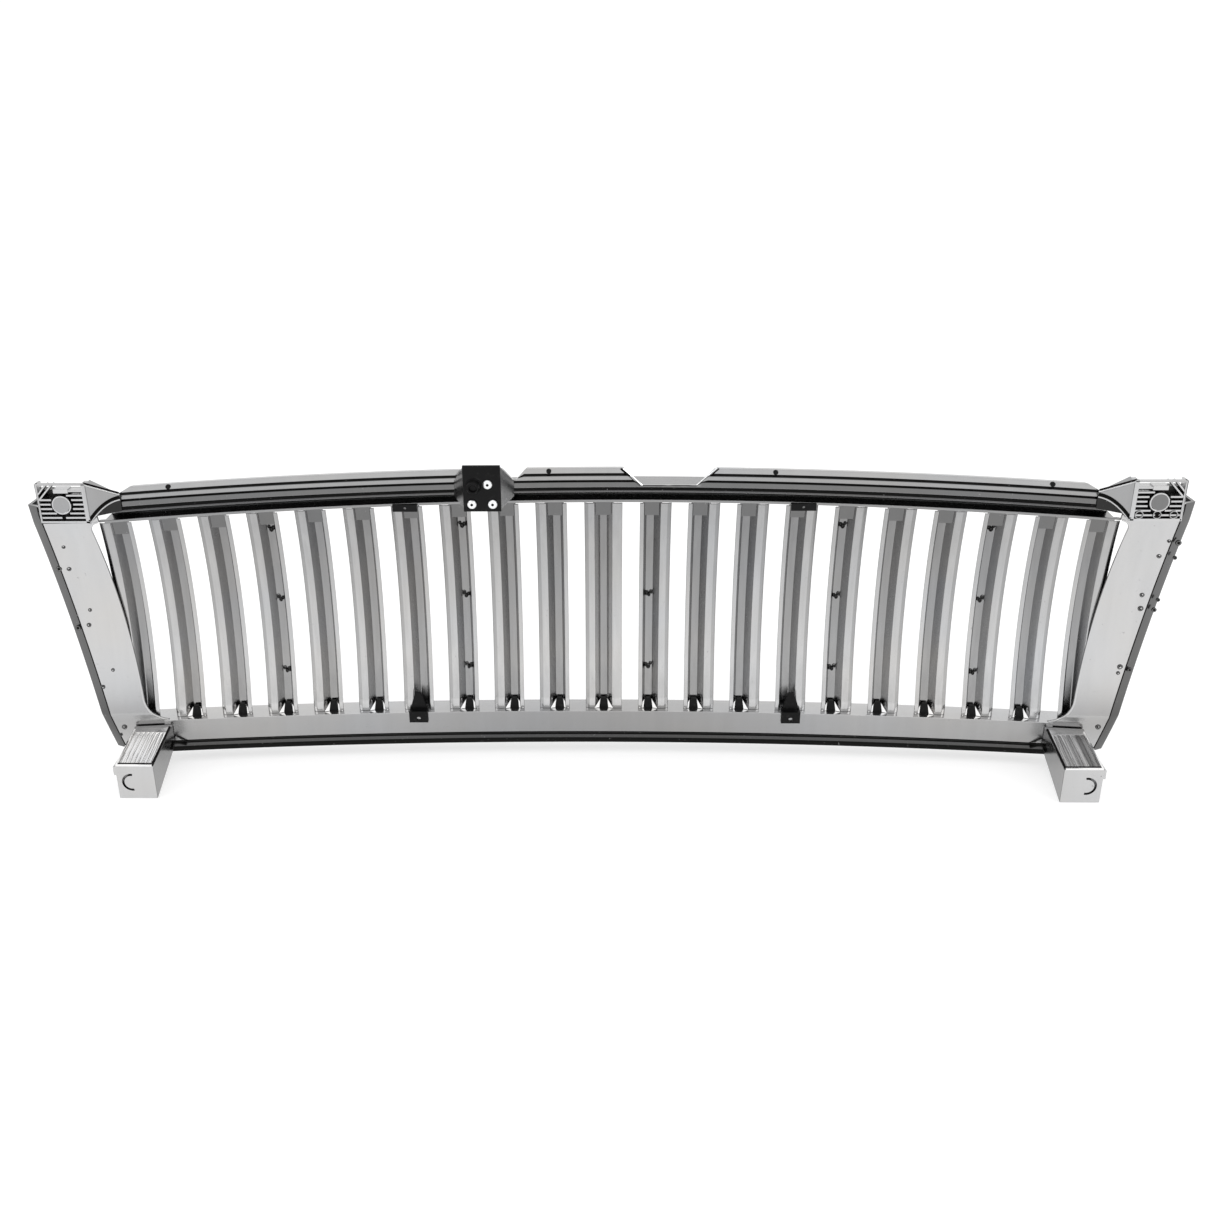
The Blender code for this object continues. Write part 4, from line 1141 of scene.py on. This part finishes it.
def leg_rim(side):
    """Rolled rims along the leg's outboard wall and its rear end, bright in the near-white chrome as painted
    highlights.
    """
    root = sweep(OUTER_BAR) + 0.0125
    # Painted highlight: the left leg's ridges are in the near-white chrome.
    made = leg_ridges(side) if side > 0 else []
    made.append(pipe(leg_line(side, 0.965, root, LEG_REAR - 0.0008, 0.0004), 0.0011, sides=8))
    cross = leg_line(side, 0.05, LEG_REAR - 0.0010, LEG_REAR - 0.0010, 0.0003)
    cross[:, 0] = side * (LEG_INNER + LEG_WIDTH * np.linspace(0.02, 0.98, 12))
    made.append(pipe(cross, 0.0012, sides=8))
    return made


class GRILLE_OT_brackets(bpy.types.Operator):
    """Builds the corner mounts, legs, tabs, combs, clips and lower brackets"""

    bl_idname = "grille.brackets"
    bl_label = "Brackets"

    def execute(self, context):
        for hand, side in (("left", 1), ("right", -1)):
            node = f"corner_mount_{hand}"
            piece(f"{node}_body", mount_shells(side), "bracket_chrome", (node,), bevel=0.0003)
            rounded_copy(f"leg_{hand}", "bracket_chrome", 0.0005)
            rounded_copy(f"leg_tab_{hand}", "bracket_chrome", 0.0)
            rounded_copy(f"upper_clip_{hand}", "black_plastic", 0.0002)
            rounded_copy(f"lower_bracket_{hand}", "black_plastic", 0.0002)
            piece(f"leg_trim_{hand}", leg_trim(side), "bracket_chrome")
            piece(f"leg_rim_{hand}", leg_rim(side), "highlight_chrome")
        piece("head_comb_body", head_shells(), "frame_chrome", ("head_comb",))
        piece("foot_comb_body", foot_shells(), "black_plastic", ("foot_comb",))
        piece("foot_facets", facet_shells(), "highlight_chrome")
        return {"FINISHED"}


# ---- bonnet bumper ------------------------------------------------------------------------------------


def turned_piece(name, node, material, profile, shades=1.0, sides=24):
    """A turned piece in place of a node: its (radius, depth) pairs are shares of the node's own."""
    low, high = (np.array(corner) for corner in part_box(node))
    radius, half = (high - low)[:2] / 2
    points = [(r * radius + wide, d * half + deep) for r, wide, d, deep in profile]
    made = lathe(points, (low + high) / 2 - SHIFT, shades, sides)
    return piece(name, [made], material, (node,))


class GRILLE_OT_bumper(bpy.types.Operator):
    """Builds the bumper tower, plate, stud, screws and lip pins"""

    bl_idname = "grille.bumper"
    bl_label = "Bonnet bumper"

    def execute(self, context):
        rounded_copy("bumper_tower", "bracket_chrome", 0.0008)
        rounded_copy("bumper_plate", "black_plastic", 0.0003)
        stud = [
            (0, 0.0003, -1, 0), (1, 0, -1, 0), (1, 0, -1, 0.0012), (0.92, 0, -1, 0.002),
            (0.84, 0, 1, -0.0006), (0.78, 0, 1, 0), (0.56, 0, 1, 0), (0.5, 0, 1, -0.0008),
            (0.46, 0, 1, -0.0026), (0, 0.0003, 1, -0.0026),
        ]
        turned_piece("bumper_stud_body", "bumper_stud", "black_plastic", stud, sides=48)
        turns = np.linspace(0.0, math.pi / 2, 8)
        dome = [(math.cos(0.8 * turn), 0, 1.35 * math.sin(turn) - 0.4, 0) for turn in turns]
        socket = [(0, 0.0012, 0.9, 0), (0, 0.0010, 0.2, 0), (0, 0.0002, 0.1, 0)]
        screw = [(0, 0.0003, -1, 0), (1, 0, -1, 0), *dome, *socket]
        # Painted shade: the socket in each screw head is painted dark.
        shades = [1.0] * (2 + len(dome)) + [0.3, 0.0, 0.0]
        for number in (1, 2, 3):
            node = f"plate_screw_{number}"
            turned_piece(f"{node}_head", node, "zinc", screw, shades, sides=36)
        pin = [
            (0, 0.0002, -1, 0), (1, 0, -1, 0), (1, 0, 0, 0),
            (0.8, 0, 0.7, 0), (0.4, 0, 1, 0), (0, 0.0002, 1, 0),
        ]
        for number in (1, 2, 3, 4):
            node = f"lip_pin_{number}"
            turned_piece(f"{node}_head", node, "black_plastic", pin)
        return {"FINISHED"}


# ---- studio -----------------------------------------------------------------------------------------------


class GRILLE_OT_studio(bpy.types.Operator):
    """Makes the pale floor, the soft lights, the surroundings and the camera"""

    bl_idname = "grille.studio"
    bl_label = "Studio"

    def execute(self, context):
        look = context.scene.grille_stage
        self.floor(look.floor_size)
        self.surroundings(context.scene)
        self.lights(look.key_power)
        self.camera(context.scene, look.focal_length)
        context.scene.view_settings.view_transform = "Standard"
        return {"FINISHED"}

    def floor(self, size):
        half = size / 2
        mesh = bpy.data.meshes.new("studio_floor")
        corners = [(-half, -half, 0.0), (half, -half, 0.0), (half, half, 0.0), (-half, half, 0.0)]
        mesh.from_pydata(corners, [], [(0, 1, 2, 3)])
        material = bpy.data.materials.new("pale_floor")
        material.use_nodes = True
        tree = material.node_tree
        shader = tree.nodes["Principled BSDF"]
        shader.inputs["Roughness"].default_value = 0.9
        shader.inputs["Specular IOR Level"].default_value = 0.1
        place = add_node(tree, "ShaderNodeTexCoord").outputs["Object"]
        broad = {"Scale": 3.0, "Detail": 3.0}
        mottle = add_node(tree, "ShaderNodeTexNoise", [(place, "Vector")], sockets=broad)
        tint = mix_colour(tree, mottle.outputs[0], (0.49, 0.49, 0.49), (0.51, 0.51, 0.51))
        tree.links.new(tint, shader.inputs["Base Color"])
        shader.inputs["Emission Color"].default_value = (1.0, 1.0, 1.0, 1.0)
        shader.inputs["Emission Strength"].default_value = 0.62
        mesh.materials.append(material)
        thing = bpy.data.objects.new("studio_floor", mesh)
        bpy.context.scene.collection.objects.link(thing)
        thing.location.z = -0.0004

    def surroundings(self, scene):
        """White overhead, in front and behind, falling to dark low down at the two sides."""
        world = bpy.data.worlds.new("studio")
        scene.world = world
        world.use_nodes = True
        tree = world.node_tree
        background = tree.nodes["Background"]
        way = add_node(tree, "ShaderNodeTexCoord").outputs["Generated"]
        split = add_node(tree, "ShaderNodeSeparateXYZ", [(way, 0)])
        height = add_node(
            tree,
            "ShaderNodeMapRange",
            [(split.outputs["Z"], "Value")],
            interpolation_type="SMOOTHSTEP",
            sockets={"From Min": 0.30, "From Max": 0.62, "To Min": 1.0, "To Max": 0.0},
        )
        across = math_node(tree, "ABSOLUTE", [(split.outputs["X"], 0)])
        sides = add_node(
            tree,
            "ShaderNodeMapRange",
            [(across, "Value")],
            interpolation_type="SMOOTHSTEP",
            sockets={"From Min": 0.62, "From Max": 0.86, "To Min": 0.0, "To Max": 1.0},
        )
        dark = math_node(tree, "MULTIPLY", [(height.outputs[0], 0), (sides.outputs[0], 1)])
        level = add_node(
            tree,
            "ShaderNodeMapRange",
            [(dark, "Value")],
            sockets={"To Min": 1.04, "To Max": 0.10},
        )
        tree.links.new(level.outputs[0], background.inputs["Strength"])
        background.inputs["Color"].default_value = (1.0, 1.0, 1.0, 1.0)

    def lights(self, power):
        table = (
            ("overhead_softbox", (0.0, 0.5, 2.2), (0.0, 0.0, 0.1), (2.6, 1.4), power),
            ("left_strip", (2.2, 1.4, 1.2), (0.3, 0.0, 0.15), (0.5, 1.6), power),
            ("right_strip", (-2.2, 1.4, 1.2), (-0.3, 0.0, 0.15), (0.5, 1.6), power),
        )
        for name, place, target, size, watts in table:
            data = bpy.data.lights.new(name, "AREA")
            data.shape = "RECTANGLE"
            data.size, data.size_y = size
            data.energy = watts
            lamp = bpy.data.objects.new(name, data)
            bpy.context.scene.collection.objects.link(lamp)
            lamp.location = place
            aim = Vector(target) - Vector(place)
            lamp.rotation_euler = aim.to_track_quat("-Z", "Y").to_euler()

    def camera(self, scene, focal_length):
        """Behind and above the grille, looking down at it, with a slight roll."""
        down, yaw, roll = math.radians(23.45), math.radians(2.05), math.radians(-0.852)
        ahead = Vector((math.sin(yaw) * math.cos(down), -math.cos(yaw) * math.cos(down), -math.sin(down)))
        right = ahead.cross(Vector((0, 0, 1))).normalized()
        up = right.cross(ahead)
        turned = math.cos(roll) * right + math.sin(roll) * up
        risen = -math.sin(roll) * right + math.cos(roll) * up
        basis = Matrix((turned, risen, -ahead)).transposed().to_4x4()
        data = bpy.data.cameras.new("studio_camera")
        data.lens = focal_length
        data.sensor_width = 36.0
        data.shift_x, data.shift_y = 0.0344, -0.0154
        data.clip_start, data.clip_end = 0.05, 200.0
        eye = bpy.data.objects.new("studio_camera", data)
        scene.collection.objects.link(eye)
        eye.matrix_world = Matrix.Translation((-0.00447, 1.0834, 0.6563)) @ basis
        scene.camera = eye


# ---- panel and registration -----------------------------------------------------------------------------

BUILD_ORDER = (
    GRILLE_OT_finishes,
    GRILLE_OT_bars,
    GRILLE_OT_rails,
    GRILLE_OT_panels,
    GRILLE_OT_brackets,
    GRILLE_OT_bumper,
    GRILLE_OT_studio,
)


class GRILLE_PT_looks(bpy.types.Panel):
    """Lists the grille's settings and its build steps"""

    bl_idname = "GRILLE_PT_looks"
    bl_label = "Front grille"
    bl_space_type = "VIEW_3D"
    bl_region_type = "UI"
    bl_category = "Grille"

    def draw(self, context):
        scene = context.scene
        for settings in (scene.grille_bars, scene.grille_frame, scene.grille_finish, scene.grille_stage):
            for key in settings.__annotations__:
                self.layout.prop(settings, key)
        for step in BUILD_ORDER:
            self.layout.operator(step.bl_idname)


SETTINGS = (
    ("grille_bars", GrilleBarSettings),
    ("grille_frame", GrilleFrameSettings),
    ("grille_finish", GrilleFinishSettings),
    ("grille_stage", GrilleStageSettings),
)


def register():
    for name, group in SETTINGS:
        bpy.utils.register_class(group)
        setattr(bpy.types.Scene, name, bpy.props.PointerProperty(type=group))
    for item in (*BUILD_ORDER, GRILLE_PT_looks):
        bpy.utils.register_class(item)


def unregister():
    for item in reversed((*BUILD_ORDER, GRILLE_PT_looks)):
        bpy.utils.unregister_class(item)
    for name, group in reversed(SETTINGS):
        delattr(bpy.types.Scene, name)
        bpy.utils.unregister_class(group)


def main():
    register()
    for step in BUILD_ORDER:
        area, name = step.bl_idname.split(".")
        getattr(getattr(bpy.ops, area), name)()
    bpy.context.view_layer.update()


if __name__ == "__main__":
    main()
